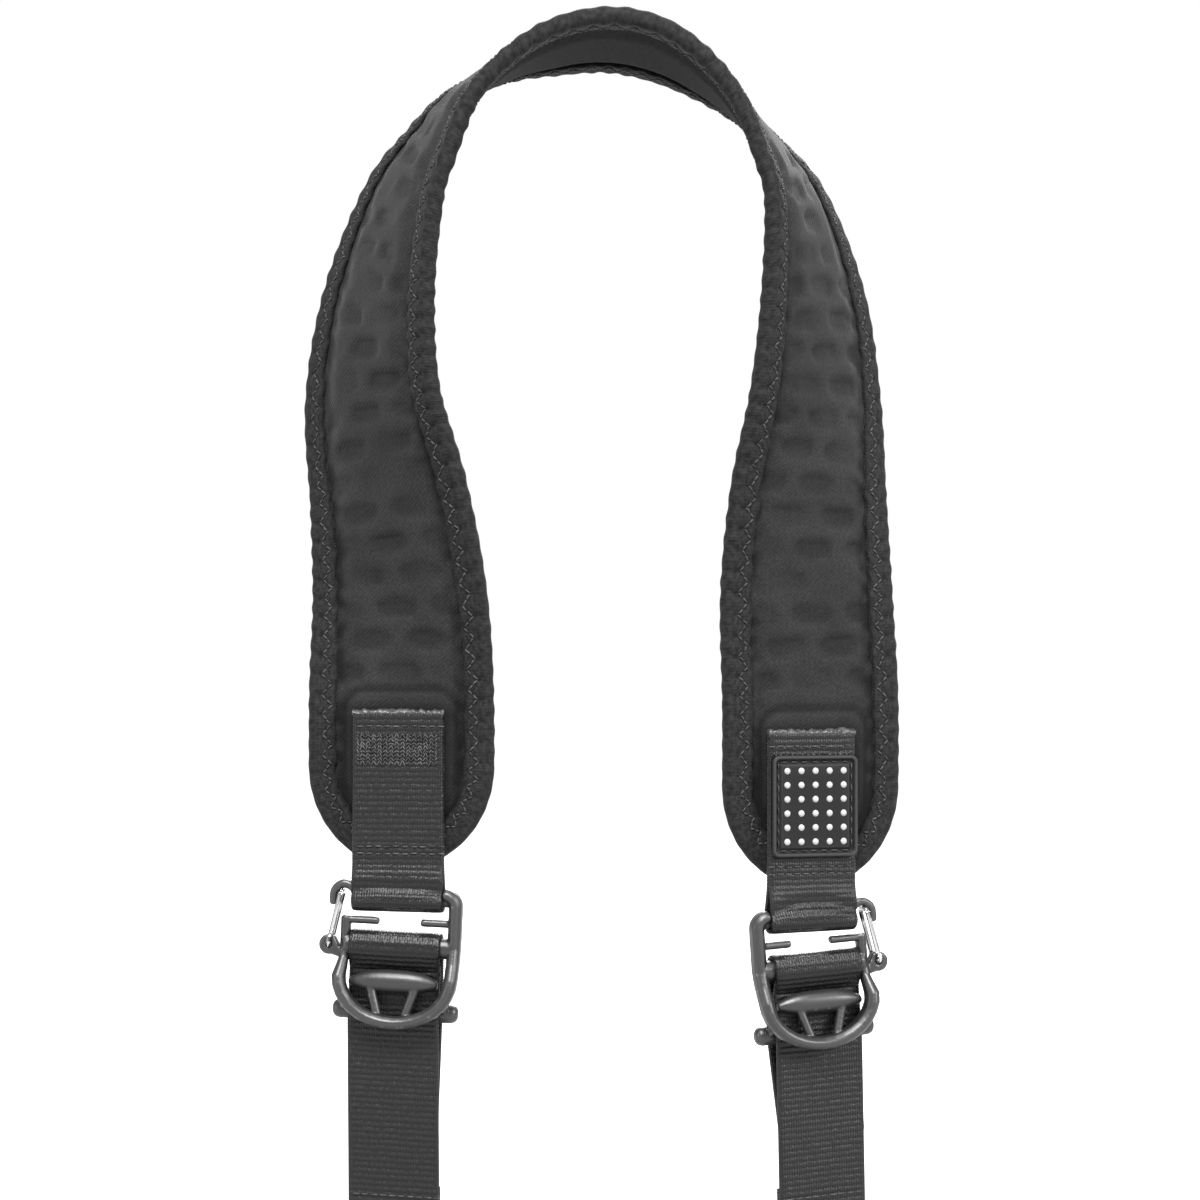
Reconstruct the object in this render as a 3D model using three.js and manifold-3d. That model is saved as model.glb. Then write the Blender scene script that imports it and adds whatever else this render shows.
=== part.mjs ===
// Binocular strap: a foam neck pad hung as an arch, with a webbing tab, a cast hook buckle with
// a wire gate and an adjustable webbing strap at each end.
// Millimetres, +Z up, +X right, +Y away from the viewer. The origin is the middle of the arch's
// inner face, where the pad rests on the neck.

import * as THREE from 'three';
import { mergeVertices } from 'three/addons/utils/BufferGeometryUtils.js';
import Module from 'manifold-3d';

const wasm = await Module();
wasm.setup();

// Clearance kept between neighbouring pieces.
const GAP = 0.3;

// Middle line of the pad from its left tip over the arch to its right tip. The twist turns the
// band about that line: at 0 the cover faces the viewer, at 90 it faces outwards or up.
const PAD_ROWS = [
  { x: -56.5, z: -225.5, twist: 7.5 },
  { x: -56.5, z: -204, twist: 7.5 },
  { x: -56.5, z: -180, twist: 8 },
  { x: -57, z: -151.5, twist: 20 },
  { x: -60, z: -124, twist: 31 },
  { x: -64.5, z: -96.5, twist: 43 },
  { x: -63, z: -68.5, twist: 53 },
  { x: -56.5, z: -41, twist: 64 },
  { x: -49.5, z: -27, twist: 71 },
  { x: -40.5, z: -13.5, twist: 79 },
  { x: -28, z: -4.5, twist: 88 },
  { x: -14.5, z: 0.8, twist: 96 },
  { x: 0, z: 3, twist: 99 },
  { x: 13.5, z: 0.5, twist: 99 },
  { x: 25.5, z: -6, twist: 95 },
  { x: 36.5, z: -15.5, twist: 88 },
  { x: 45.5, z: -27.5, twist: 79 },
  { x: 53, z: -42, twist: 70 },
  { x: 57.5, z: -68.5, twist: 56 },
  { x: 58, z: -96.5, twist: 45 },
  { x: 56, z: -124, twist: 32 },
  { x: 55.5, z: -151.5, twist: 22 },
  { x: 56.5, z: -179, twist: 19 },
  { x: 56.5, z: -207, twist: 19 },
  { x: 56.5, z: -231, twist: 19 },
];

// Pad, measured on its flat pattern. The rim is pressed thin under the binding.
const PAD = {
  halfWidth: 26,
  endRise: 28.5,
  bodyHalf: 3,
  rimHalf: 1.15,
  rimEdgeHalf: 0.6,
  rimRound: 1,
  puffStart: 9.5,
  puffEnd: 15,
  spans: 48,
  endSpans: 6,
  fractions: [0, 0.44, 0.54, 0.66, 0.96, 1],
};

// Binding tape, folded over the rim.
const BINDING = { width: 8, wall: 0.9, round: 1.1, slack: 0.45 };

// Webbing of the tabs and the straps.
const WEBBING = { halfWidth: 12.7, thickness: 1.4, fold: 0.25 };

// Each hanger carries one end. Its middle is the axis of the buckle's top bar, with u inwards,
// w backwards and v upwards. The left one is drawn and the right one is its mirror image.
// The follow is the share of the buckle's roll that the fold of the tab takes up.
const TAB = { top: 51, barBelowTip: 8, spread: 9, slack: 0.95, follow: 0.4, skewStart: 12, skewEnd: 3 };
const PATCH = { width: 25.2, height: 28, corner: 2, thickness: 1.8, rim: 1.3, pocket: 0.7, middle: 31 };

// Buckle, in u, w and v.
const BAR = { top: 1.6, topStart: -12.3, topEnd: 14.4, middle: 2.6, middleV: -13.2 };
const REAR = { radius: 2.4, w: 3.4, v: -31.3, half: 17.2, dome: 1.6 };
const RAIL = { width: 3, depth: 5.2, round: 1.1, u: 16.2, topV: 1.5, bend: 3.2 };
const TAIL = {
  v: -21.5,
  drop: 12.4,
  kick: 4.2,
  kickTop: -13,
  kickEnd: -24,
  neckU: -14.5,
  topV: -16,
  slim: 0.6,
};
const SIDE = { width: 2.1, depth: 3.2, round: 0.6, u: -14.2, footU: -15, footV: -22.5, bendV: -16.5 };
const PRONG = { v: -6.35, height: 1.5, depth: 2.5, round: 0.5, leftTip: -5.2, rightTip: 6.9 };
const TONGUE = {
  halfLength: 12.2,
  v: -23.2,
  lift: 0.4,
  back: -1.4,
  edge: 0.9,
  crown: 3.1,
  bulge: 3.2,
  endBulge: 1.3,
  sections: 13,
};
const STRUT = { topU: 6.2, topV: -24.5, topW: -2.9, footU: 3.5, footV: -33.2, radius: 1.05 };
const POST = { u: 13.9, radius: 0.9 };
const HOOK = { width: 1.8, depth: 3, round: 0.5 };
const HOOK_ROUTE = [
  { u: -11.6, v: 0.4 },
  { u: -12.5, v: 2.4 },
  { u: -15.2, v: 3.4 },
  { u: -17.6, v: 1.6 },
  { u: -17.8, v: -2.2 },
];
const LUG = { radius: 2.5, bore: 1.05, depth: 3, topV: -9.6, footV: -17, from: 60, to: 288 };

// Wire gate: a closed wire loop that pivots in the lug and rests inside the hook.
const GATE = { wire: 0.7, pivotU: -18.6, pivotV: -13.5, topU: -15.6, topV: 1.2, bend: 1 };

// Adjustable strap: it loops over the middle bar and hangs to a folded hem.
// Below the buckle it leans inwards by a share of its length.
const STRAP = {
  slack: 0.4,
  frontW: -0.2,
  leaveV: -19.5,
  leanV: -34,
  lean: 0.05,
  endZ: -324,
  hem: 12,
  tailEndW: 4,
  tailEndV: -60,
};

const SIDES = [
  { name: 'left', mirror: 1, roll: 2.5, shift: 0, patch: false },
  { name: 'right', mirror: -1, roll: 4, shift: 1.8, patch: true },
];

const COLOURS = {
  cover: { color: '#414141', roughness: 0.95, metalness: 0 },
  tape: { color: '#333333', roughness: 0.9, metalness: 0 },
  webbing: { color: '#454545', roughness: 0.8, metalness: 0 },
  casting: { color: '#6a6a6a', roughness: 0.4, metalness: 0.9 },
  steel: { color: '#d8d8d8', roughness: 0.15, metalness: 1 },
  rubber: { color: '#1d1d1d', roughness: 0.6, metalness: 0 },
};

const radians = THREE.MathUtils.degToRad;
const vec = (x, y, z) => new THREE.Vector3(x, y, z);

// Closed solid through rings of points: capped at both ends, or joined end to end as a loop.
function loft(rings, isLoop = false) {
  const count = rings[0].length;
  const index = [];
  const spans = isLoop ? rings.length : rings.length - 1;
  for (let i = 0; i < spans; i++) {
    const a = i * count;
    const b = ((i + 1) % rings.length) * count;
    for (let k = 0; k < count; k++) {
      const next = (k + 1) % count;
      index.push(a + k, b + k, b + next, a + k, b + next, a + next);
    }
  }
  if (!isLoop) {
    const last = (rings.length - 1) * count;
    for (let k = 1; k < count - 1; k++) {
      index.push(0, k, k + 1, last, last + k + 1, last + k);
    }
  }
  const geometry = new THREE.BufferGeometry();
  geometry.setFromPoints(rings.flat());
  geometry.setIndex(index);
  return facingOut(geometry);
}

// Turns a closed mesh so that its faces point out.
function facingOut(geometry) {
  const points = geometry.attributes.position;
  const index = geometry.index.array;
  const [a, b, c] = [vec(), vec(), vec()];
  let volume = 0;
  for (let i = 0; i < index.length; i += 3) {
    a.fromBufferAttribute(points, index[i]);
    b.fromBufferAttribute(points, index[i + 1]);
    c.fromBufferAttribute(points, index[i + 2]);
    volume += a.dot(b.cross(c));
  }
  if (volume < 0) {
    geometry.setIndex(Array.from(index).reverse());
  }
  return geometry;
}

// Round or oval section with a given number of sides, as pairs across and deep.
function oval(halfAcross, halfDeep, sides) {
  return Array.from({ length: sides }, (_, k) => {
    const angle = (2 * Math.PI * (k + 0.5)) / sides;
    return [halfAcross * Math.cos(angle), halfDeep * Math.sin(angle)];
  });
}

// Box section with rounded corners, as pairs across and deep.
function softBox(width, depth, round) {
  const [x, y] = [width / 2, depth / 2];
  const [i, j] = [x - round, y - round];
  return [[x, -j], [x, j], [i, y], [-i, y], [-x, j], [-x, -j], [-i, -y], [i, -y]];
}

// Carries a section along a path that lies mostly in the u-v plane, with its depth along w. The
// size scales the section along the way.
function sweep(path, section, size = () => 1) {
  const rings = path.map((point, i) => {
    const before = path[Math.max(i - 1, 0)];
    const after = path[Math.min(i + 1, path.length - 1)];
    const along = vec().subVectors(after, before).setY(0).normalize();
    const across = vec(along.z, 0, -along.x);
    const scale = size(point);
    return section.map(([x, y]) =>
      point.clone().addScaledVector(across, x * scale).add(vec(0, y * scale, 0)));
  });
  return loft(rings);
}

// Rings of a rounded rod end: share of the dome's height, and share of the radius.
const DOME = [[0, 0.5], [0.35, 0.85], [1, 1]];

// Round rod between two points, with flat or domed ends.
function rod(from, to, radius, dome = 0) {
  const along = vec().subVectors(to, from);
  const length = along.length();
  along.normalize();
  const side = vec(0, 0, 1).cross(along);
  const across = (side.lengthSq() > 0.01 ? side : vec(0, 1, 0)).normalize();
  const up = vec().crossVectors(along, across);
  const start = dome ? DOME.map(([rise, scale]) => [rise * dome, scale]) : [[0, 1]];
  const stations = [...start, ...start.map(([rise, scale]) => [length - rise, scale]).reverse()];
  return loft(stations.map(([distance, scale]) => oval(radius * scale, radius * scale, 12).map(([x, y]) =>
    from.clone().addScaledVector(along, distance).addScaledVector(across, x).addScaledVector(up, y))));
}

// Flat plate in the u-v plane, centred on w = 0.
function plate(shape, depth) {
  const geometry = new THREE.ExtrudeGeometry(shape, { depth, bevelEnabled: false, curveSegments: 6 });
  geometry.rotateX(Math.PI / 2);
  geometry.translate(0, depth / 2, 0);
  return geometry;
}

function solidOf(geometry) {
  const bare = geometry.clone();
  bare.deleteAttribute('normal');
  bare.deleteAttribute('uv');
  const merged = mergeVertices(bare, 1e-5);
  return new wasm.Manifold(new wasm.Mesh({
    numProp: 3,
    vertProperties: new Float32Array(merged.attributes.position.array),
    triVerts: new Uint32Array(merged.index.array),
  }));
}

function geometryOf(solid) {
  const mesh = solid.getMesh();
  const geometry = new THREE.BufferGeometry();
  geometry.setAttribute('position', new THREE.BufferAttribute(new Float32Array(mesh.vertProperties), 3));
  geometry.setIndex(Array.from(mesh.triVerts));
  return geometry;
}

function joined(geometries) {
  const solids = geometries.map(solidOf);
  return geometryOf(solids.reduce((whole, solid) => whole.add(solid)));
}

function makeMesh(name, geometry, look) {
  const mesh = new THREE.Mesh(geometry, new THREE.MeshStandardMaterial(look));
  mesh.name = name;
  return mesh;
}

// Pad band. A point of the flat pattern is s along the pad from its left tip, w towards the
// inner edge and n out of the cover.
const centreline = new THREE.CatmullRomCurve3(PAD_ROWS.map((row) => vec(row.x, 0, row.z)), false, 'catmullrom');
const twistLine = new THREE.CatmullRomCurve3(PAD_ROWS.map((row) => vec(row.twist, 0, 0)), false, 'catmullrom');
centreline.arcLengthDivisions = 600;
const padLength = centreline.getLength();

function bandFrame(s) {
  const t = centreline.getUtoTmapping(THREE.MathUtils.clamp(s / padLength, 0, 1));
  const along = centreline.getTangent(t);
  const inwards = vec(0, 1, 0).cross(along).normalize();
  const back = vec().crossVectors(along, inwards);
  const twist = radians(twistLine.getPoint(t).x);
  const across = inwards.multiplyScalar(Math.cos(twist)).addScaledVector(back, -Math.sin(twist));
  return { point: centreline.getPoint(t), across, out: vec().crossVectors(across, along) };
}

function onBand(s, w, n) {
  const { point, across, out } = bandFrame(s);
  return point.addScaledVector(across, w).addScaledVector(out, n);
}

// Outline of the flat pattern: two straight edges and two half-oval ends, each point with the
// direction that leads into the pad.
function padOutline() {
  const { halfWidth: a, endRise: b, spans, endSpans } = PAD;
  const straight = padLength - 2 * b;
  const outline = [];
  const addEnd = (middle, sign) => {
    for (let k = 0; k <= 2 * endSpans; k++) {
      const angle = (Math.PI * k) / (2 * endSpans);
      const [s, w] = [b * sign * Math.sin(angle), a * sign * Math.cos(angle)];
      const into = new THREE.Vector2(-s / (b * b), -w / (a * a)).normalize();
      outline.push({ s: middle + s, w, into });
    }
  };
  const addEdge = (start, sign) => {
    for (let k = 1; k < spans; k++) {
      const s = start + (sign * straight * k) / spans;
      outline.push({ s, w: sign * a, into: new THREE.Vector2(0, -sign) });
    }
  };
  addEnd(b, -1);
  addEdge(b, 1);
  addEnd(padLength - b, 1);
  addEdge(padLength - b, -1);
  return outline;
}

function makeBinding() {
  const { width, wall, round, slack } = BINDING;
  const half = PAD.rimHalf + slack + wall;
  const inner = half - wall;
  const section = [
    [width, half], [round, half], [0, half - round], [0, round - half], [round, -half], [width, -half],
    [width, -inner], [wall, -inner], [wall, inner], [width, inner],
  ];
  const rings = padOutline().map(({ s, w, into }) =>
    section.map(([inset, n]) => onBand(s + into.x * inset, w + into.y * inset, n)));
  return loft(rings, true);
}

// Half thickness of the pad at a distance from the outline.
function padHalf(distance) {
  const edge = BINDING.wall + BINDING.slack;
  if (distance < edge + PAD.rimRound) {
    const rise = Math.max(distance - edge, 0) / PAD.rimRound;
    return THREE.MathUtils.lerp(PAD.rimEdgeHalf, PAD.rimHalf, rise);
  }
  const puff = THREE.MathUtils.smoothstep(distance, PAD.puffStart, PAD.puffEnd);
  return THREE.MathUtils.lerp(PAD.rimHalf, PAD.bodyHalf, puff);
}

function makePad() {
  const inset = BINDING.wall + BINDING.slack;
  const [a, b] = [PAD.halfWidth - inset, PAD.endRise - inset];
  const outline = padOutline().map(({ s, w }) => new THREE.Vector2(s, w));
  const place = new THREE.Vector2();
  const rimDistance = (s, w) => {
    place.set(s, w);
    return Math.min(...outline.map((point, i) => {
      const edge = outline[(i + 1) % outline.length].clone().sub(point);
      const t = THREE.MathUtils.clamp(place.clone().sub(point).dot(edge) / edge.lengthSq(), 0, 1);
      return place.distanceTo(point.clone().addScaledVector(edge, t));
    }));
  };
  const stations = [];
  for (let k = 1; k <= PAD.endSpans; k++) {
    const angle = (Math.PI / 2) * (k / PAD.endSpans);
    stations.push({ s: PAD.endRise - b * Math.cos(angle), half: a * Math.sin(angle) });
  }
  const straight = padLength - 2 * PAD.endRise;
  const middle = Array.from({ length: PAD.spans - 1 }, (_, k) => (
    { s: PAD.endRise + (straight * (k + 1)) / PAD.spans, half: a }));
  const mirrored = stations.map(({ s, half }) => ({ s: padLength - s, half })).reverse();
  const across = [...PAD.fractions.slice(1).reverse().map((f) => -f), ...PAD.fractions];
  const rings = [...stations, ...middle, ...mirrored].map(({ s, half }) => {
    const front = across.map((f) => onBand(s, f * half, padHalf(rimDistance(s, f * half))));
    const back = across.map((f) => onBand(s, f * half, -padHalf(rimDistance(s, f * half))));
    return [...front, ...back.reverse()];
  });
  return loft(rings);
}

// Path in w and v that runs from one point, round a bar and on to another point. The turn is 1
// over the top of the bar, from back to front, and -1 under it.
function wrapRound(centre, radius, from, to, turn, steps) {
  const reach = (point) => point.clone().sub(centre);
  const lean = (point) => Math.acos(radius / reach(point).length());
  const start = reach(from).angle() + turn * lean(from);
  let sweepAngle = reach(to).angle() - turn * lean(to) - start;
  sweepAngle = turn * THREE.MathUtils.euclideanModulo(turn * sweepAngle, 2 * Math.PI);
  const arc = Array.from({ length: steps + 1 }, (_, k) => {
    const angle = start + (sweepAngle * k) / steps;
    return new THREE.Vector2(centre.x + radius * Math.cos(angle), centre.y + radius * Math.sin(angle));
  });
  return [from, ...arc, to];
}

// Band of webbing along a path in w and v. At each height the skew lifts it by a share of u, and
// the lean moves it along u.
function webbing(path, { skew = () => 0, lean = () => 0 }) {
  const half = WEBBING.thickness / 2;
  const corners = [[-1, -1], [1, -1], [1, 1], [-1, 1]];
  const rings = path.map((point, i) => {
    const before = path[Math.max(i - 1, 0)];
    const after = path[Math.min(i + 1, path.length - 1)];
    const into = after.clone().sub(point).normalize();
    const from = point.clone().sub(before).normalize();
    const along = into.clone().add(from).normalize();
    const miter = 1 / Math.max(along.dot(into.lengthSq() ? into : from), 0.5);
    return corners.map(([across, deep]) => {
      const u = across * WEBBING.halfWidth;
      const w = point.x + along.y * deep * half * miter;
      const v = point.y - along.x * deep * half * miter;
      return vec(u + lean(v), w, v + u * skew(v));
    });
  });
  return loft(rings);
}

// Middle of the tab's two layers, measured from the bar's axis.
const tabBack = (WEBBING.thickness + WEBBING.fold) / 2;
const tabFront = -tabBack;

// The tab lies on the pad's front as two layers, which open round the top bar.
function makeTab(roll) {
  const radius = BAR.top + TAB.slack + WEBBING.thickness / 2;
  const from = new THREE.Vector2(tabBack, TAB.spread);
  const to = new THREE.Vector2(tabFront, TAB.spread);
  const loop = wrapRound(new THREE.Vector2(0, 0), radius, from, to, -1, 16);
  const path = [new THREE.Vector2(tabBack, TAB.top), ...loop, new THREE.Vector2(tabFront, TAB.top)];
  const slope = -TAB.follow * Math.tan(radians(roll));
  const skew = (v) => slope * (1 - THREE.MathUtils.smoothstep(v, TAB.skewEnd, TAB.skewStart));
  return webbing(path, { skew });
}

function roundedRectangle(width, height, corner) {
  const [x, y] = [width / 2, height / 2];
  const shape = new THREE.Shape();
  shape.moveTo(corner - x, -y);
  shape.absarc(x - corner, corner - y, corner, -Math.PI / 2, 0);
  shape.absarc(x - corner, y - corner, corner, 0, Math.PI / 2);
  shape.absarc(corner - x, y - corner, corner, Math.PI / 2, Math.PI);
  shape.absarc(corner - x, corner - y, corner, Math.PI, 1.5 * Math.PI);
  return shape;
}

// Rubber patch with a raised rim round a plain panel.
function makePatch() {
  const { width, height, corner, thickness, rim, pocket } = PATCH;
  const body = plate(roundedRectangle(width, height, corner), thickness);
  const panel = plate(roundedRectangle(width - 2 * rim, height - 2 * rim, corner - rim / 2), thickness);
  panel.translate(0, pocket - thickness, 0);
  return geometryOf(solidOf(body).subtract(solidOf(panel)));
}

// The tail kicks forwards, so that the strap passes behind it.
const tailMiddle = (RAIL.u + SIDE.footU) / 2;
const kickAt = (v) => -TAIL.kick * THREE.MathUtils.smoothstep(-v, -TAIL.kickTop, -TAIL.kickEnd);

// Right rail and D-shaped tail in one sweep, which slims into the side rail.
function tailPath() {
  const line = new THREE.Path();
  line.absarc(RAIL.u - RAIL.bend, RAIL.topV - RAIL.bend, RAIL.bend, Math.PI / 2, 0, true);
  line.lineTo(RAIL.u, TAIL.kickTop);
  line.lineTo(RAIL.u, (TAIL.kickTop + TAIL.v) / 2);
  line.absellipse(tailMiddle, TAIL.v, RAIL.u - tailMiddle, TAIL.drop, 0, -Math.PI, true);
  line.lineTo(TAIL.neckU, (TAIL.v + TAIL.topV) / 2);
  line.lineTo(SIDE.u, TAIL.topV);
  return line.getPoints(8).map(({ x, y }) => vec(x, kickAt(y), y));
}

function tailSize({ x, z }) {
  const share = THREE.MathUtils.inverseLerp(TAIL.v, TAIL.topV, Math.max(z, TAIL.v));
  return x > 0 ? 1 : THREE.MathUtils.lerp(1, TAIL.slim, share);
}

function hookPath() {
  return new THREE.CatmullRomCurve3(HOOK_ROUTE.map(({ u, v }) => vec(u, 0, v))).getPoints(10);
}

// Ear that holds the foot of the gate, on the side rail.
function makeLug() {
  const { radius, bore, depth, topV, footV, from, to } = LUG;
  const shape = new THREE.Shape();
  shape.moveTo(SIDE.u, topV);
  shape.absarc(GATE.pivotU, GATE.pivotV, radius, radians(from), radians(to));
  shape.lineTo(SIDE.u, footV);
  const hole = new THREE.Path();
  hole.absarc(GATE.pivotU, GATE.pivotV, bore, 0, 2 * Math.PI);
  shape.holes.push(hole);
  return plate(shape, depth);
}

// Domed friction tongue, flat behind, as sections along u.
function makeTongue() {
  const { halfLength, v, lift, back, edge, crown, bulge, endBulge, sections } = TONGUE;
  const rings = Array.from({ length: sections }, (_, i) => {
    const share = (2 * i) / (sections - 1) - 1;
    const fullness = 1 - Math.abs(share) ** 3;
    const half = THREE.MathUtils.lerp(edge, crown, fullness);
    const front = THREE.MathUtils.lerp(endBulge, bulge, fullness);
    return Array.from({ length: 9 }, (_, k) => {
      const angle = (Math.PI * k) / 8;
      const height = v + lift * fullness + half * Math.cos(angle);
      return vec(share * halfLength, back - front * Math.sin(angle), height);
    });
  });
  return loft(rings);
}

function makeFrame() {
  const prong = softBox(PRONG.height, PRONG.depth, PRONG.round);
  const sideStops = [
    { u: SIDE.footU, v: SIDE.footV },
    { u: SIDE.u, v: SIDE.bendV },
    { u: SIDE.u, v: TAIL.kickTop },
    { u: SIDE.u, v: PRONG.v + PRONG.height / 2 },
  ];
  const sidePath = sideStops.map(({ u, v }) => vec(u, kickAt(v), v));
  const pieces = [
    rod(vec(BAR.topStart, 0, 0), vec(BAR.topEnd, 0, 0), BAR.top),
    sweep(tailPath(), softBox(RAIL.width, RAIL.depth, RAIL.round), tailSize),
    sweep(sidePath, softBox(SIDE.width, SIDE.depth, SIDE.round)),
    sweep(hookPath(), softBox(HOOK.width, HOOK.depth, HOOK.round)),
    makeLug(),
    sweep([vec(SIDE.u, 0, PRONG.v), vec(PRONG.leftTip, 0, PRONG.v)], prong),
    sweep([vec(PRONG.rightTip, 0, PRONG.v), vec(RAIL.u, 0, PRONG.v)], prong),
    rod(vec(SIDE.u, 0, BAR.middleV), vec(RAIL.u, 0, BAR.middleV), BAR.middle),
    rod(vec(-REAR.half, REAR.w, REAR.v), vec(REAR.half, REAR.w, REAR.v), REAR.radius, REAR.dome),
    makeTongue(),
  ];
  for (const sign of [-1, 1]) {
    const foot = vec(sign * STRUT.footU, -TAIL.kick, STRUT.footV);
    pieces.push(rod(vec(sign * STRUT.topU, STRUT.topW, STRUT.topV), foot, STRUT.radius));
    const postU = sign * POST.u;
    const tailReach = (postU - tailMiddle) / (RAIL.u - tailMiddle);
    const postV = TAIL.v - TAIL.drop * Math.sqrt(1 - tailReach * tailReach);
    pieces.push(rod(vec(postU, kickAt(postV), postV), vec(postU, REAR.w, REAR.v), POST.radius));
  }
  return joined(pieces);
}

// Rounded rectangle of wire in the plane of the gate, round the lug and inside the hook.
function makeGate() {
  const pivot = vec(GATE.pivotU, 0, GATE.pivotV);
  const up = vec(GATE.topU, 0, GATE.topV).sub(pivot);
  const length = up.length();
  up.normalize();
  const deep = vec(0, 1, 0);
  const out = vec().crossVectors(up, deep);
  const halfDeep = LUG.depth / 2 + GAP + GATE.wire;
  const corners = [
    { along: GATE.bend, w: halfDeep - GATE.bend, start: -Math.PI / 2 },
    { along: length - GATE.bend, w: halfDeep - GATE.bend, start: 0 },
    { along: length - GATE.bend, w: GATE.bend - halfDeep, start: Math.PI / 2 },
    { along: GATE.bend, w: GATE.bend - halfDeep, start: Math.PI },
  ];
  const rings = corners.flatMap(({ along, w, start }) => [0, 1, 2, 3].map((k) => {
    const angle = start + (Math.PI / 2) * (k / 3);
    const outwards = deep.clone().multiplyScalar(Math.cos(angle)).addScaledVector(up, Math.sin(angle));
    const middle = pivot.clone().addScaledVector(up, along).addScaledVector(deep, w);
    middle.addScaledVector(outwards, GATE.bend);
    return oval(GATE.wire, GATE.wire, 8).map(([x, y]) =>
      middle.clone().addScaledVector(outwards, x).addScaledVector(out, y));
  }));
  return loft(rings, true);
}

// The strap: tail behind the rear bar, over the middle bar, behind the tongue and down to a hem.
function makeStrap(endV) {
  const half = WEBBING.thickness / 2;
  const middle = new THREE.Vector2(0, BAR.middleV);
  const from = new THREE.Vector2(REAR.w + REAR.radius + GAP + half, REAR.v);
  const to = new THREE.Vector2(STRAP.frontW, STRAP.leaveV);
  const loop = wrapRound(middle, BAR.middle + STRAP.slack + half, from, to, 1, 16);
  const foldRadius = (WEBBING.thickness + WEBBING.fold) / 2;
  const fold = Array.from({ length: 7 }, (_, k) => {
    const angle = Math.PI + (Math.PI * k) / 6;
    const foldW = STRAP.frontW + foldRadius;
    return new THREE.Vector2(foldW + foldRadius * Math.cos(angle), endV + foldRadius * (1 + Math.sin(angle)));
  });
  const hemTop = new THREE.Vector2(STRAP.frontW + 2 * foldRadius, endV + STRAP.hem);
  const tailEnd = new THREE.Vector2(STRAP.tailEndW, STRAP.tailEndV);
  const leanStart = new THREE.Vector2(STRAP.frontW, STRAP.leanV);
  const lean = (v) => STRAP.lean * Math.max(STRAP.leanV - v, 0);
  return webbing([tailEnd, ...loop, leanStart, ...fold, hemTop], { lean });
}

const strap = new THREE.Group();
strap.add(makeMesh('neck_pad', makePad(), COLOURS.cover));
strap.add(makeMesh('edge_binding', makeBinding(), COLOURS.tape));

const frameGeometry = makeFrame();
const gateGeometry = makeGate();

for (const { name, mirror, roll, shift, patch } of SIDES) {
  const tip = bandFrame(mirror > 0 ? 0 : padLength);
  const seat = PAD.bodyHalf + GAP + tabBack + WEBBING.thickness / 2;
  const hanger = new THREE.Group();
  hanger.position.copy(tip.point).addScaledVector(tip.out, seat);
  hanger.position.addScaledVector(tip.across, shift);
  hanger.position.z -= TAB.barBelowTip;
  hanger.rotation.z = Math.atan2(mirror * tip.across.y, mirror * tip.across.x);
  hanger.scale.x = mirror;
  hanger.add(makeMesh(`webbing_tab_${name}`, makeTab(roll), COLOURS.webbing));
  if (patch) {
    const label = makeMesh('label_patch', makePatch(), COLOURS.rubber);
    label.position.set(0, tabFront - WEBBING.thickness / 2 - GAP - PATCH.thickness / 2, PATCH.middle);
    hanger.add(label);
  }
  const buckle = new THREE.Group();
  buckle.rotation.y = radians(roll);
  buckle.add(makeMesh(`buckle_frame_${name}`, frameGeometry, COLOURS.casting));
  buckle.add(makeMesh(`wire_gate_${name}`, gateGeometry, COLOURS.steel));
  const endV = (STRAP.endZ - hanger.position.z) / Math.cos(radians(roll));
  buckle.add(makeMesh(`webbing_strap_${name}`, makeStrap(endV), COLOURS.webbing));
  hanger.add(buckle);
  strap.add(hanger);
}

export default strap;
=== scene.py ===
"""Binocular strap: padded neck band with taped edges, webbing tabs, hook buckles and straps."""

import math
import random

import bpy
import numpy as np
from bpy.props import FloatProperty, FloatVectorProperty, IntProperty, PointerProperty
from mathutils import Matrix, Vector, noise


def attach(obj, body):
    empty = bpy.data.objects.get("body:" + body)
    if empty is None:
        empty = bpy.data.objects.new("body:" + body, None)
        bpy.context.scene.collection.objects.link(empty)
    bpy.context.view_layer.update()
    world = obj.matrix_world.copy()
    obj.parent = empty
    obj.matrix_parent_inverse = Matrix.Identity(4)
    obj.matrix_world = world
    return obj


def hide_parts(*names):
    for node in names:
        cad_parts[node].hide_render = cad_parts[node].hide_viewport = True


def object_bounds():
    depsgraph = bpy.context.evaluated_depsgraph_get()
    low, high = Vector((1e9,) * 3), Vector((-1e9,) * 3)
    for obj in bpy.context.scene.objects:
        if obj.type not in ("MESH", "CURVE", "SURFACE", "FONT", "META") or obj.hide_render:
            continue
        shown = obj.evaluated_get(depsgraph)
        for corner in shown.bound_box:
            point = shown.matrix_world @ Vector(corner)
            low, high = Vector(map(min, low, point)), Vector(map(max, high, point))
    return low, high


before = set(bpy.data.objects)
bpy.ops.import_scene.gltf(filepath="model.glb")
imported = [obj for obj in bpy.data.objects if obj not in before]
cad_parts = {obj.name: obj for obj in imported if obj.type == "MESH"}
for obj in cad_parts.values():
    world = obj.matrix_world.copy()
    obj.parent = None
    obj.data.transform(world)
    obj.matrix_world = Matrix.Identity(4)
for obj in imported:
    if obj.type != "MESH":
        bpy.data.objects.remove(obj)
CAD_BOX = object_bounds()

bl_info = {
    "name": "Binocular strap",
    "version": (1, 0, 0),
    "blender": (4, 5, 0),
    "location": "View3D > Sidebar > Strap",
    "description": "Builds a padded binocular strap round its solid model",
    "category": "Add Mesh",
}

MM = 0.001
BODY = "strap"

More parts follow.
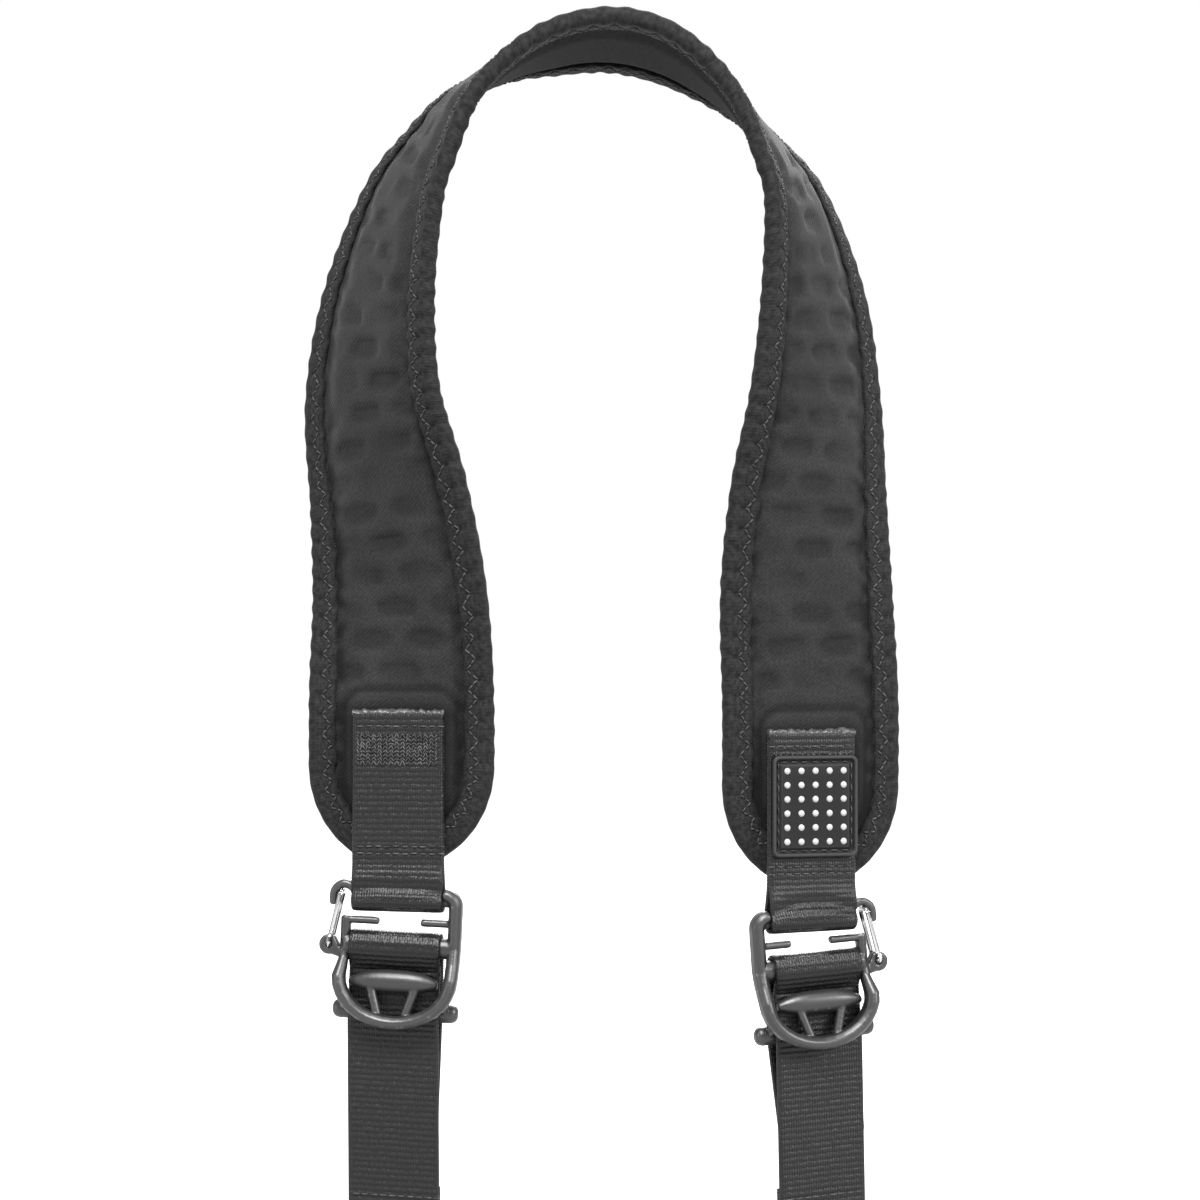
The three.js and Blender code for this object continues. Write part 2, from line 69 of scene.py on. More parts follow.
# Middle line of the pad from its left tip over the arch to its right tip. The columns are x and z
# in millimetres, and the twist of the band about that line in degrees: at 0 the cover faces the viewer.
PAD_ROWS = (
    (-56.5, -225.5, 7.5),
    (-56.5, -204, 7.5),
    (-56.5, -180, 8),
    (-57, -151.5, 20),
    (-60, -124, 31),
    (-64.5, -96.5, 43),
    (-63, -68.5, 53),
    (-56.5, -41, 64),
    (-49.5, -27, 71),
    (-40.5, -13.5, 79),
    (-28, -4.5, 88),
    (-14.5, 0.8, 96),
    (0, 3, 99),
    (13.5, 0.5, 99),
    (25.5, -6, 95),
    (36.5, -15.5, 88),
    (45.5, -27.5, 79),
    (53, -42, 70),
    (57.5, -68.5, 56),
    (58, -96.5, 45),
    (56, -124, 32),
    (55.5, -151.5, 22),
    (56.5, -179, 19),
    (56.5, -207, 19),
    (56.5, -231, 19),
)

# The two ends. The left one is drawn in u inwards, w backwards and v upwards from the axis of the
# buckle's top bar, and the right one is its mirror image. The arch is the height of the bulge
# that the folded webbing makes over the bar, at its middle and at its edges, and the tuck is how
# much the strap's tail leans back outwards, so that it hangs in behind the strap.
SIDES = {
    "left": {"mirror": 1, "roll": 2.5, "shift": 0.0, "tuck": 0.03, "arch": (3.0, 2.0)},
    "right": {"mirror": -1, "roll": 4.0, "shift": 1.8, "tuck": 0.075, "arch": (4.6, 1.6)},
}

# Gap between stacked pieces, gap inside a fold, and depth of the top bar below the pad's tip.
GAP = 0.3 * MM
FOLD_GAP = 0.25 * MM
BAR_BELOW_TIP = 8 * MM

# Paths of the tab and the strap on their end, in millimetres. The follow is the share of the
# buckle's roll that the tab's fold takes up, and the lean is a slope.
TAB = {"top": 51, "spread": 9, "fold_radius": 3.25, "follow": 0.4, "skew_start": 12, "skew_end": 3}
STRAP = {
    "bar_v": -13.2,
    "loop_radius": 3.7,
    "rear_w": 6.8,
    "rear_v": -31.3,
    "front_w": -0.2,
    "leave_v": -19.5,
    "lean_v": -34,
    "lean": 0.05,
    "end_z": -324,
    "hem": 12,
    "tail_w": 4,
    "tail_v": -60,
}
# Depth behind the buckle from which webbing counts as the tail.
TAIL_BEHIND = (1.8 * MM, 2.6 * MM)

# Stitches in rows across the webbing.
STITCH = 1.9 * MM
STITCH_PITCH = 2.5 * MM
SEAM_MARGIN = 1.4 * MM
WEB_THREAD = 0.19 * MM


def linear(hex_colour):
    """sRGB hex to linear RGB."""
    channels = (int(hex_colour[i:i + 2], 16) / 255 for i in (1, 3, 5))
    return tuple(c / 12.92 if c <= 0.04045 else ((c + 0.055) / 1.055) ** 2.4 for c in channels)


def length(name, description, millimetres):
    return FloatProperty(
        name=name, description=description, default=millimetres * MM, unit="LENGTH", precision=5)


def colour(name, description, hex_colour):
    return FloatVectorProperty(
        name=name, description=description, default=linear(hex_colour), subtype="COLOR", min=0, max=1)


class PadSettings(bpy.types.PropertyGroup):
    """Sizes and colours of the foam pad."""

    half_width: length("Half width", "Half the width of the pad, binding included", 26)
    end_rise: length("End rise", "Length of each rounded end", 28.5)
    body_half: length("Half thickness", "Half the thickness of the foam", 3)
    rim_half: length("Rim half thickness", "Half the thickness of the rim under the tape", 1.15)
    dent_row: length("Dent rows", "Distance between rows of dents along the pad", 9)
    dent_pitch: length("Dent pitch", "Distance between dents in a row", 15.7)
    dent_width: length("Dent width", "Length of a dent across the pad", 12.4)
    dent_height: length("Dent height", "Length of a dent along the pad", 5.8)
    dent_depth: length("Dent depth", "How deep the cover sinks into a dent", 0.9)
    twill: length("Twill", "Distance between the diagonal lines of the cover's weave", 0.9)
    cover: colour("Cover", "Charcoal twill", "#191919")
    # The dent colour is painted shade: the cover is blended towards it in its dents, its crease, beside the
    # tab and along the tape.
    dent: colour("Dents", "Cover where it sinks in", "#070707")
    lining: colour("Lining", "Smooth inner face", "#191919")


class TapeSettings(bpy.types.PropertyGroup):
    """Sizes and colours of the binding tape and its stitching."""

    width: length("Width", "Width of the tape on each face", 8)
    wall: length("Wall", "Thickness of the tape", 0.9)
    half: length("Half thickness", "Half the thickness of the bound edge", 2.5)
    pitch: length("Zigzag pitch", "Length of one zigzag", 5.6)
    swing: length("Zigzag swing", "Half the width of the zigzag", 1.5)
    line: length("Zigzag line", "Distance of the zigzag from the outer edge", 5.5)
    scallop: length("Scallop", "How far the stitching puckers the edge", 0.18)
    thread: length("Thread", "Radius of the sewing thread", 0.26)
    tape: colour("Tape", "Folded black tape", "#101010")
    sewing: colour("Thread colour", "Grey sewing thread", "#252525")


class WebbingSettings(bpy.types.PropertyGroup):
    """Sizes and colours of the webbing."""

    half_width: length("Half width", "Half the width of the webbing", 12.7)
    thickness: length("Thickness", "Thickness of the webbing", 1.4)
    rib: length("Rib pitch", "Distance between the cross ribs", 1.6)
    rib_depth: length("Rib depth", "Depth of the valleys between ribs", 0.14)
    yarn: length("Yarn", "Width of one lengthwise yarn", 0.7)
    ridge: colour("Ribs", "Top of the ribs", "#131313")
    # Painted shade: the webbing is blended from the rib colour to this near black in the valleys between the
    # ribs.
    valley_shade: colour("Valleys", "Between the ribs", "#030303")
    melted: colour("Melted end", "Heat-cut end of the webbing", "#2e2e2e")
    sewing: colour("Thread colour", "Thread of the tab's stitching", "#303030")


class PatchSettings(bpy.types.PropertyGroup):
    """Sizes and colours of the rubber patch."""

    width: length("Width", "Width of the patch", 25.2)
    height: length("Height", "Height of the patch", 28)
    corner: length("Corner", "Radius of the corners", 2)
    thickness: length("Thickness", "Thickness at the rim", 1.8)
    middle: length("Middle", "Height of its middle above the buckle's top bar", 31)
    dot: length("Dot", "Radius of a raised dot", 0.95)
    columns: IntProperty(name="Columns", description="Raised dots in a row", default=5)
    rows: IntProperty(name="Rows", description="Rows of raised dots", default=6)
    rubber: colour("Rubber", "Black moulded rubber", "#0a0a0a")
    # The rim's raised tops and the groove's inner ridge are blended towards this lighter grey.
    rim: colour("Rim", "Rubbed edge of the rim", "#242424")
    paint: colour("Dots", "Paint on the raised dots", "#808080")


class BuckleSettings(bpy.types.PropertyGroup):
    """Sizes and colours of the buckles and their gates."""

    grain: length("Surface grid", "Spacing of the casting's surface points", 0.3)
    casting: colour("Casting", "Gunmetal plating", "#343434")
    edge: colour("Worn edge", "Plating on rubbed edges", "#565656")
    steel: colour("Steel", "Polished spring wire", "#a4a4a4")


class StageSettings(bpy.types.PropertyGroup):
    """Floor, light and camera."""

    distance: length("Distance", "Distance of the camera from the strap", 1200)
    across: length("View width", "Width of the view at the strap", 331.2)
    height: length("Camera height", "Height of the camera", -151.48)
    offset: length("Camera offset", "Sideways place of the camera", -1.656)
    floor: colour("Floor", "Pale paper", "#989898")


def smoothstep(x, low, high):
    t = np.clip((x - low) / (high - low), 0.0, 1.0)
    return t * t * (3.0 - 2.0 * t)


def bell(x, middle, spread):
    return np.exp(-(((x - middle) / spread) ** 2))


# Mesh helpers

def new_piece(name, points, faces, materials, replaced=()):
    """A mesh that rides on the strap, with smooth shading."""
    mesh = bpy.data.meshes.new(name)
    mesh.from_pydata(np.asarray(points).reshape(-1, 3).tolist(), [], faces)
    mesh.update()
    mesh.shade_smooth()
    for material in materials:
        mesh.materials.append(material)
    piece = bpy.data.objects.new(name, mesh)
    bpy.context.scene.collection.objects.link(piece)
    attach(piece, BODY)
    if replaced:
        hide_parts(*replaced)
    return piece


def ring_faces(rings, count, is_loop=False, first=0):
    """Quads between closed rings of points that follow each other."""
    faces = []
    for i in range(rings if is_loop else rings - 1):
        a = first + i * count
        b = first + ((i + 1) % rings) * count
        for k in range(count):
            after = (k + 1) % count
            faces.append((a + k, a + after, b + after, b + k))
    return faces


def flat_cap(first, count, turned):
    """Strip of quads that closes a ring whose second half runs back under its first."""
    faces = []
    for k in range(count // 2 - 1):
        quad = (first + k, first + k + 1, first + count - 2 - k, first + count - 1 - k)
        faces.append(quad if turned else quad[::-1])
    return faces


def face_outwards(piece):
    bpy.context.view_layer.objects.active = piece
    piece.select_set(True)
    bpy.ops.object.mode_set(mode="EDIT")
    bpy.ops.mesh.select_all(action="SELECT")
    bpy.ops.mesh.normals_make_consistent(inside=False)
    bpy.ops.object.mode_set(mode="OBJECT")
    piece.select_set(False)


def set_uv(piece, per_point):
    """Lays the mesh out flat, in metres, from two numbers for each point."""
    mesh = piece.data
    corners = np.zeros(len(mesh.loops), dtype=np.int32)
    mesh.loops.foreach_get("vertex_index", corners)
    layer = mesh.uv_layers.new(name="flat")
    layer.data.foreach_set("uv", np.asarray(per_point, np.float32).reshape(-1, 2)[corners].ravel())


def set_share(piece, name, per_point):
    attribute = piece.data.attributes.new(name, "FLOAT", "POINT")
    attribute.data.foreach_set("value", np.asarray(per_point, np.float32).ravel())


THREAD_SIDES = 6
THREAD_TIP = 0.55


def tubes(paths, normals, radius):
    """Points and faces of short threads. Paths and normals are arrays of threads, points and xyz."""
    sides = THREAD_SIDES
    paths, normals = np.asarray(paths), np.asarray(normals)
    along = np.gradient(paths, axis=1)
    along /= np.linalg.norm(along, axis=2, keepdims=True)
    across = np.cross(along, normals)
    across /= np.linalg.norm(across, axis=2, keepdims=True)
    up = np.cross(across, along)
    threads, steps = paths.shape[:2]
    taper = np.full(steps, radius)
    taper[[0, -1]] = radius * THREAD_TIP
    angle = 2 * np.pi * np.arange(sides) / sides
    ring = (np.cos(angle)[:, None] * across[:, :, None] + np.sin(angle)[:, None] * up[:, :, None])
    points = paths[:, :, None] + taper[None, :, None, None] * ring
    faces = []
    for t in range(threads):
        first = t * steps * sides
        faces += ring_faces(steps, sides, first=first)
        faces.append(tuple(first + k for k in reversed(range(sides))))
        faces.append(tuple(first + (steps - 1) * sides + k for k in range(sides)))
    return points.reshape(-1, 3), faces


def ripple(points, size, seed):
    """Slow unevenness from -1 to 1 at each point, with features of a given size."""
    shift = Vector((seed * 7.3, seed * 3.1, seed * 5.7))
    flat = np.asarray(points).reshape(-1, 3) / size
    return np.array([noise.noise(Vector(p) + shift) for p in flat]).reshape(np.shape(points)[:-1])


# The pad's band

class Band:
    """Middle line and twist of the pad. A point of its flat pattern is s along the pad from its
    left tip, w towards the inner edge and n out of the cover."""

    SAMPLES = 4000

    def __init__(self):
        rows = np.array(PAD_ROWS, float)
        rows[:, :2] *= MM
        rows[:, 2] = np.radians(rows[:, 2])
        self.spans = len(rows) - 1
        self.rows = np.vstack([2 * rows[0] - rows[1], rows, 2 * rows[-1] - rows[-2]])
        self.t = np.linspace(0, 1, self.SAMPLES)
        steps = np.diff(self.curve(self.t)[0][:, :2], axis=0)
        self.s = np.concatenate([[0], np.cumsum(np.linalg.norm(steps, axis=1))])
        self.length = self.s[-1]

    def curve(self, t):
        """Value and slope of the smooth line through the rows."""
        position = t * self.spans
        i = np.minimum(position.astype(int), self.spans - 1)
        f = (position - i)[:, None]
        before, start, end, after = (self.rows[i + k] for k in range(4))
        leave, arrive = (end - before) / 2, (after - start) / 2
        bend = 2 * start - 2 * end + leave + arrive
        lift = 3 * end - 3 * start - 2 * leave - arrive
        value = start + f * (leave + f * (lift + f * bend))
        return value, leave + f * (2 * lift + 3 * f * bend)

    def frame(self, s):
        s = np.asarray(s, float)
        flat = np.clip(s.ravel(), 0, self.length)
        value, slope = self.curve(np.interp(flat, self.s, self.t))
        zero = np.zeros(len(flat))
        along = np.stack([slope[:, 0], zero, slope[:, 1]], 1)
        along /= np.linalg.norm(along, axis=1, keepdims=True)
        inwards = np.stack([along[:, 2], zero, -along[:, 0]], 1)
        twist = value[:, 2:]
        across = np.cos(twist) * inwards - np.sin(twist) * np.array([0, 1, 0])
        out = np.cross(across, along)
        point = np.stack([value[:, 0], zero, value[:, 1]], 1)
        return tuple(a.reshape(*s.shape, 3) for a in (point, across, out))

    def place(self, s, w, n):
        point, across, out = self.frame(s)
        return point + across * np.asarray(w)[..., None] + out * np.asarray(n)[..., None]


BAND = Band()


class Outline:
    """Edge of the pad's flat pattern, as even steps round it, with the direction into the pad."""

    ARC_STEPS = 400
    EDGE_POINTS = 1600

    def __init__(self, half_width, end_rise):
        angle = np.linspace(0, np.pi, self.ARC_STEPS)
        far = BAND.length - end_rise
        s = np.concatenate([end_rise - end_rise * np.sin(angle), far + end_rise * np.sin(angle)])
        w = np.concatenate([-half_width * np.cos(angle), half_width * np.cos(angle)])
        self.s, self.w = np.append(s, s[0]), np.append(w, w[0])
        steps = np.hypot(np.diff(self.s), np.diff(self.w))
        self.arc = np.concatenate([[0], np.cumsum(steps)])
        self.length = self.arc[-1]
        self.half_width, self.end_rise, self.far = half_width, end_rise, far

    def at(self, arc):
        arc = np.mod(arc, self.length)
        s, w = np.interp(arc, self.arc, self.s), np.interp(arc, self.arc, self.w)
        past = np.where(s < self.end_rise, s - self.end_rise, np.maximum(s - self.far, 0))
        into = np.stack([-past / self.end_rise**2, -w / self.half_width**2], -1)
        into /= np.linalg.norm(into, axis=-1, keepdims=True)
        return s, w, into

    def distance(self, s, w):
        """Distance of points of the flat pattern from the edge."""
        edge_s, edge_w, _ = self.at(np.linspace(0, self.length, self.EDGE_POINTS))
        nearest = [np.hypot(edge_s - a, edge_w - b).min() for a, b in zip(s.ravel(), w.ravel())]
        return np.array(nearest).reshape(s.shape)


# Places on the two ends

class Hanger:
    """Frame of one end: u inwards, w backwards and v upwards from the axis of the top bar."""

    def __init__(self, side):
        facts = SIDES[side]
        pad, webbing = bpy.context.scene.strap_pad, bpy.context.scene.strap_webbing
        self.mirror, self.roll = facts["mirror"], math.radians(facts["roll"])
        self.arch, self.tuck = facts["arch"], facts["tuck"]
        tip = np.array([0.0 if self.mirror > 0 else BAND.length])
        point, across, out = (a[0] for a in BAND.frame(tip))
        self.layer = (webbing.thickness + FOLD_GAP) / 2
        seat = pad.body_half + GAP + self.layer + webbing.thickness / 2
        self.origin = point + out * seat + across * facts["shift"] * MM
        self.origin[2] -= BAR_BELOW_TIP
        yaw = math.atan2(self.mirror * across[1], self.mirror * across[0])
        self.turn = np.array([
            [math.cos(yaw), -math.sin(yaw), 0],
            [math.sin(yaw), math.cos(yaw), 0],
            [0, 0, 1],
        ])

    def on_tab(self, local):
        """Points of the tab, which hangs straight."""
        mirrored = np.asarray(local) * np.array([self.mirror, 1, 1])
        return mirrored @ self.turn.T + self.origin

    def on_buckle(self, local):
        """Points of the buckle and its strap, which hang at the roll."""
        local = np.asarray(local)
        u, w, v = local[..., 0], local[..., 1], local[..., 2]
        c, s = math.cos(self.roll), math.sin(self.roll)
        return self.on_tab(np.stack([u * c + v * s, w, v * c - u * s], -1))


def wrap_round(centre, radius, start, end, turn, steps=40):
    """Path in w and v from one point round a bar to another, over it at turn 1 and under it at -1."""
    def angle_of(point, sign):
        reach = np.subtract(point, centre)
        return math.atan2(reach[1], reach[0]) + sign * math.acos(radius / np.hypot(*reach))
    first, last = angle_of(start, turn), angle_of(end, -turn)
    sweep = turn * ((turn * (last - first)) % (2 * math.pi))
    angle = first + sweep * np.linspace(0, 1, steps)
    arc = np.stack([centre[0] + radius * np.cos(angle), centre[1] + radius * np.sin(angle)], 1)
    return np.vstack([start, arc, end])


def even_path(path, step, soften):
    """Path in even steps, with its corners rounded over a given length."""
    path = np.asarray(path, float)
    arc = np.concatenate([[0], np.cumsum(np.linalg.norm(np.diff(path, axis=0), axis=1))])
    count = int(round(arc[-1] / step)) + 1
    even = np.linspace(0, arc[-1], count)
    points = np.stack([np.interp(even, arc, path[:, k]) for k in range(2)], 1)
    reach = max(int(soften / step), 1)
    kernel = np.hanning(2 * reach + 3)[1:-1]
    kernel /= kernel.sum()
    head = 2 * points[0] - points[reach:0:-1]
    tail = 2 * points[-1] - points[-2:-reach - 2:-1]
    padded = np.vstack([head, points, tail])
    smooth = np.stack([np.convolve(padded[:, k], kernel, mode="valid") for k in range(2)], 1)
    return smooth, even


# Materials

def add_node(tree, kind, settings, links):
    """A node with its settings, and its inputs set to values or linked from other sockets."""
    node = tree.nodes.new(kind)
    for name, value in settings.items():
        setattr(node, name, value)
    for socket, value in links.items():
        if isinstance(value, bpy.types.NodeSocket):
            tree.links.new(value, node.inputs[socket])
        else:
            node.inputs[socket].default_value = value
    return node


def new_material(name, surface):
    """A material, its nodes and its shader, with what is the same all over the surface set on that."""
    material = bpy.data.materials.new(name)
    material.use_nodes = True
    shader = material.node_tree.nodes["Principled BSDF"]
    for socket, value in surface.items():
        shader.inputs[socket].default_value = value
    return material, material.node_tree, shader


def band_scale(period):
    """Scale of a wave texture whose lines are a period apart, in metres."""
    return 2 * math.pi / 20 / period


def opaque(rgb):
    return (*rgb, 1.0)


# Noise stays near its middle, so its spread is stretched to the whole range.
NOISE_SPREAD = {"From Min": 0.3, "From Max": 0.7}

# Settings of the nodes that multiply numbers and colours and blend colours, and the places of the
# colour sockets on a mix node.
PRODUCT = {"operation": "MULTIPLY"}
BLEND = {"data_type": "RGBA"}
TINT = {"data_type": "RGBA", "blend_type": "MULTIPLY"}
SHARE, FIRST, SECOND, BLENDED = 0, 6, 7, 2


def woven_twill(pad):
    """Nylon twill over foam: fine diagonal lines, a dull soft sheen, and painted shade in its dents, in the
    crease, beside the tab and along the tape. The lines are drawn about twice as coarse as real twill, so
    that they show."""
    material, tree, shader = new_material("woven_nylon_twill", {
        "IOR": 1.53, "Roughness": 0.9, "Specular IOR Level": 0.08, "Sheen Weight": 0.04})
    flat = add_node(tree, "ShaderNodeUVMap", {"uv_map": "flat"}, {})
    turned = add_node(tree, "ShaderNodeMapping", {}, {
        "Vector": flat.outputs[0], "Rotation": (0, 0, math.radians(38))})
    lines = add_node(tree, "ShaderNodeTexWave", {}, {
        "Vector": turned.outputs[0], "Scale": band_scale(pad.twill), "Distortion": 1.2, "Detail": 2.0})
    cloud = add_node(tree, "ShaderNodeTexNoise", {}, {
        "Vector": flat.outputs[0], "Scale": 1 / (18 * MM), "Detail": 4.0, "Roughness": 0.6})
    fleck = add_node(tree, "ShaderNodeTexNoise", {}, {
        "Vector": flat.outputs[0], "Scale": 1 / (0.8 * MM), "Detail": 1.0})
    # Painted shade, stored on the pad, blends the cover towards its dark colour.
    sunk_and_shade = add_node(tree, "ShaderNodeAttribute", {"attribute_name": "sunk_and_shade"}, {})
    base = add_node(tree, "ShaderNodeMix", BLEND, {
        SHARE: sunk_and_shade.outputs["Fac"], FIRST: opaque(pad.cover), SECOND: opaque(pad.dent)})
    shade = add_node(tree, "ShaderNodeMapRange", {}, {
        **NOISE_SPREAD, "Value": cloud.outputs[0], "To Min": 0.78, "To Max": 1.2})
    weave = add_node(tree, "ShaderNodeMapRange", {}, {
        "Value": lines.outputs["Fac"], "To Min": 0.9, "To Max": 1.08})
    speck = add_node(tree, "ShaderNodeMapRange", {}, {
        **NOISE_SPREAD, "Value": fleck.outputs[0], "To Min": 0.75, "To Max": 1.25})
    both = add_node(tree, "ShaderNodeMath", PRODUCT, {0: shade.outputs[0], 1: weave.outputs[0]})
    all_three = add_node(tree, "ShaderNodeMath", PRODUCT, {0: both.outputs[0], 1: speck.outputs[0]})
    tint = add_node(tree, "ShaderNodeMix", TINT, {
        SHARE: 1.0, FIRST: base.outputs[BLENDED], SECOND: all_three.outputs[0]})
    tree.links.new(tint.outputs[BLENDED], shader.inputs["Base Color"])
    bump = add_node(tree, "ShaderNodeBump", {}, {
        "Strength": 0.35, "Distance": 0.15 * MM, "Height": lines.outputs["Fac"]})
    tree.links.new(bump.outputs[0], shader.inputs["Normal"])
    return material


def brushed_lining(pad):
    """Smooth brushed polyester on the inner face: darker and duller than the cover."""
    material, tree, shader = new_material("brushed_polyester", {
        "IOR": 1.57, "Roughness": 0.95, "Specular IOR Level": 0.06})
    flat = add_node(tree, "ShaderNodeUVMap", {"uv_map": "flat"}, {})
    nap = add_node(tree, "ShaderNodeTexNoise", {}, {
        "Vector": flat.outputs[0], "Scale": 1 / (1.6 * MM), "Detail": 4.0})
    shade = add_node(tree, "ShaderNodeMapRange", {}, {
        **NOISE_SPREAD, "Value": nap.outputs[0], "To Min": 0.7, "To Max": 1.3})
    tint = add_node(tree, "ShaderNodeMix", TINT, {
        SHARE: 1.0, FIRST: opaque(pad.lining), SECOND: shade.outputs[0]})
    tree.links.new(tint.outputs[BLENDED], shader.inputs["Base Color"])
    bump = add_node(tree, "ShaderNodeBump", {}, {
        "Strength": 0.5, "Distance": 0.2 * MM, "Height": nap.outputs[0]})
    tree.links.new(bump.outputs[0], shader.inputs["Normal"])
    return material


def folded_tape(tape):
    """Knitted polyester tape: fine cross lines and knots, with painted shade where the needle pulls it down,
    in the needle holes and along its rolled border. The knit is drawn about twice as coarse as the real one,
    so that it shows."""
    material, tree, shader = new_material("knitted_polyester_tape", {
        "IOR": 1.57, "Roughness": 0.8, "Specular IOR Level": 0.1, "Sheen Weight": 0.02})
    flat = add_node(tree, "ShaderNodeUVMap", {"uv_map": "flat"}, {})
    lines = add_node(tree, "ShaderNodeTexWave", {}, {
        "Vector": flat.outputs[0], "Scale": band_scale(0.9 * MM), "Distortion": 2.0, "Detail": 2.0})
    cloud = add_node(tree, "ShaderNodeTexNoise", {}, {
        "Vector": flat.outputs[0], "Scale": 1 / (1.4 * MM), "Detail": 3.0})
    # Painted shade, stored on the tape, darkens its colour.
    pulled_and_shade = add_node(tree, "ShaderNodeAttribute", {"attribute_name": "pulled_and_shade"}, {})
    shade = add_node(tree, "ShaderNodeMapRange", {}, {
        **NOISE_SPREAD, "Value": cloud.outputs[0], "To Min": 0.2, "To Max": 1.9})
    dark = add_node(tree, "ShaderNodeMapRange", {}, {
        "Value": pulled_and_shade.outputs["Fac"], "To Min": 1.0, "To Max": 0.12})
    both = add_node(tree, "ShaderNodeMath", PRODUCT, {0: shade.outputs[0], 1: dark.outputs[0]})
    tint = add_node(tree, "ShaderNodeMix", TINT, {
        SHARE: 1.0, FIRST: opaque(tape.tape), SECOND: both.outputs[0]})
    tree.links.new(tint.outputs[BLENDED], shader.inputs["Base Color"])
    bump = add_node(tree, "ShaderNodeBump", {}, {
        "Strength": 0.3, "Distance": 0.12 * MM, "Height": lines.outputs["Fac"]})
    knots = add_node(tree, "ShaderNodeBump", {}, {
        "Strength": 0.7, "Distance": 0.5 * MM, "Height": cloud.outputs[0], "Normal": bump.outputs[0]})
    tree.links.new(knots.outputs[0], shader.inputs["Normal"])
    return material


def sewing_thread(name, rgb):
    """Twisted polyester thread: a little lighter and shinier than the cloth that it holds."""
    material, tree, shader = new_material(name, {
        "IOR": 1.57, "Roughness": 0.6, "Specular IOR Level": 0.18})
    place = add_node(tree, "ShaderNodeTexCoord", {}, {})
    ply = add_node(tree, "ShaderNodeTexNoise", {}, {
        "Vector": place.outputs["Object"], "Scale": 1 / (2.2 * MM), "Detail": 3.0})
    shade = add_node(tree, "ShaderNodeMapRange", {}, {
        **NOISE_SPREAD, "Value": ply.outputs[0], "To Min": 0.3, "To Max": 1.6})
    tint = add_node(tree, "ShaderNodeMix", TINT, {
        SHARE: 1.0, FIRST: opaque(rgb), SECOND: shade.outputs[0]})
    tree.links.new(tint.outputs[BLENDED], shader.inputs["Base Color"])
    return material


def ribbed_nylon(webbing):
    """Woven nylon webbing: shiny cross ribs with painted shade in the valleys between them, crossed by
    lengthwise yarns. The yarns are drawn about twice as wide as real ones, so that they show."""
    material, tree, shader = new_material("woven_nylon_webbing", {
        "IOR": 1.53, "Roughness": 0.4, "Specular IOR Level": 0.19})
    flat = add_node(tree, "ShaderNodeUVMap", {"uv_map": "flat"}, {})
    rib = add_node(tree, "ShaderNodeAttribute", {"attribute_name": "rib"}, {})
    yarns = add_node(tree, "ShaderNodeTexWave", {}, {
        "Vector": flat.outputs[0], "Scale": band_scale(webbing.yarn), "Distortion": 1.5, "Detail": 1.0})
    fuzz = add_node(tree, "ShaderNodeTexNoise", {}, {
        "Vector": flat.outputs[0], "Scale": 1 / (0.7 * MM), "Detail": 2.0})
    # Painted shade: darker in the valleys, lighter on the rib tops.
    base = add_node(tree, "ShaderNodeMix", BLEND, {
        SHARE: rib.outputs["Fac"], FIRST: opaque(webbing.valley_shade), SECOND: opaque(webbing.ridge)})
    shade = add_node(tree, "ShaderNodeMapRange", {}, {
        **NOISE_SPREAD, "Value": fuzz.outputs[0], "To Min": 0.5, "To Max": 1.45})
    bead = add_node(tree, "ShaderNodeMapRange", {}, {
        "Value": yarns.outputs["Fac"], "To Min": 0.65, "To Max": 1.15})
    both = add_node(tree, "ShaderNodeMath", PRODUCT, {0: shade.outputs[0], 1: bead.outputs[0]})
    tint = add_node(tree, "ShaderNodeMix", TINT, {
        SHARE: 1.0, FIRST: base.outputs[BLENDED], SECOND: both.outputs[0]})
    tree.links.new(tint.outputs[BLENDED], shader.inputs["Base Color"])
    bump = add_node(tree, "ShaderNodeBump", {}, {
        "Strength": 0.7, "Distance": 0.15 * MM, "Height": both.outputs[0]})
    tree.links.new(bump.outputs[0], shader.inputs["Normal"])
    return material


def melted_nylon(webbing):
    """Heat-cut nylon: a hard, shiny and uneven grey bead."""
    material, tree, shader = new_material("heat_cut_nylon", {
        "IOR": 1.53, "Roughness": 0.4, "Specular IOR Level": 0.3})
    place = add_node(tree, "ShaderNodeTexCoord", {}, {})
    lumps = add_node(tree, "ShaderNodeTexNoise", {}, {
        "Vector": place.outputs["Object"], "Scale": 1 / (1.2 * MM), "Detail": 2.0})
    shade = add_node(tree, "ShaderNodeMapRange", {}, {
        **NOISE_SPREAD, "Value": lumps.outputs[0], "To Min": 0.3, "To Max": 1.5})
    tint = add_node(tree, "ShaderNodeMix", TINT, {
        SHARE: 1.0, FIRST: opaque(webbing.melted), SECOND: shade.outputs[0]})
    tree.links.new(tint.outputs[BLENDED], shader.inputs["Base Color"])
    return material


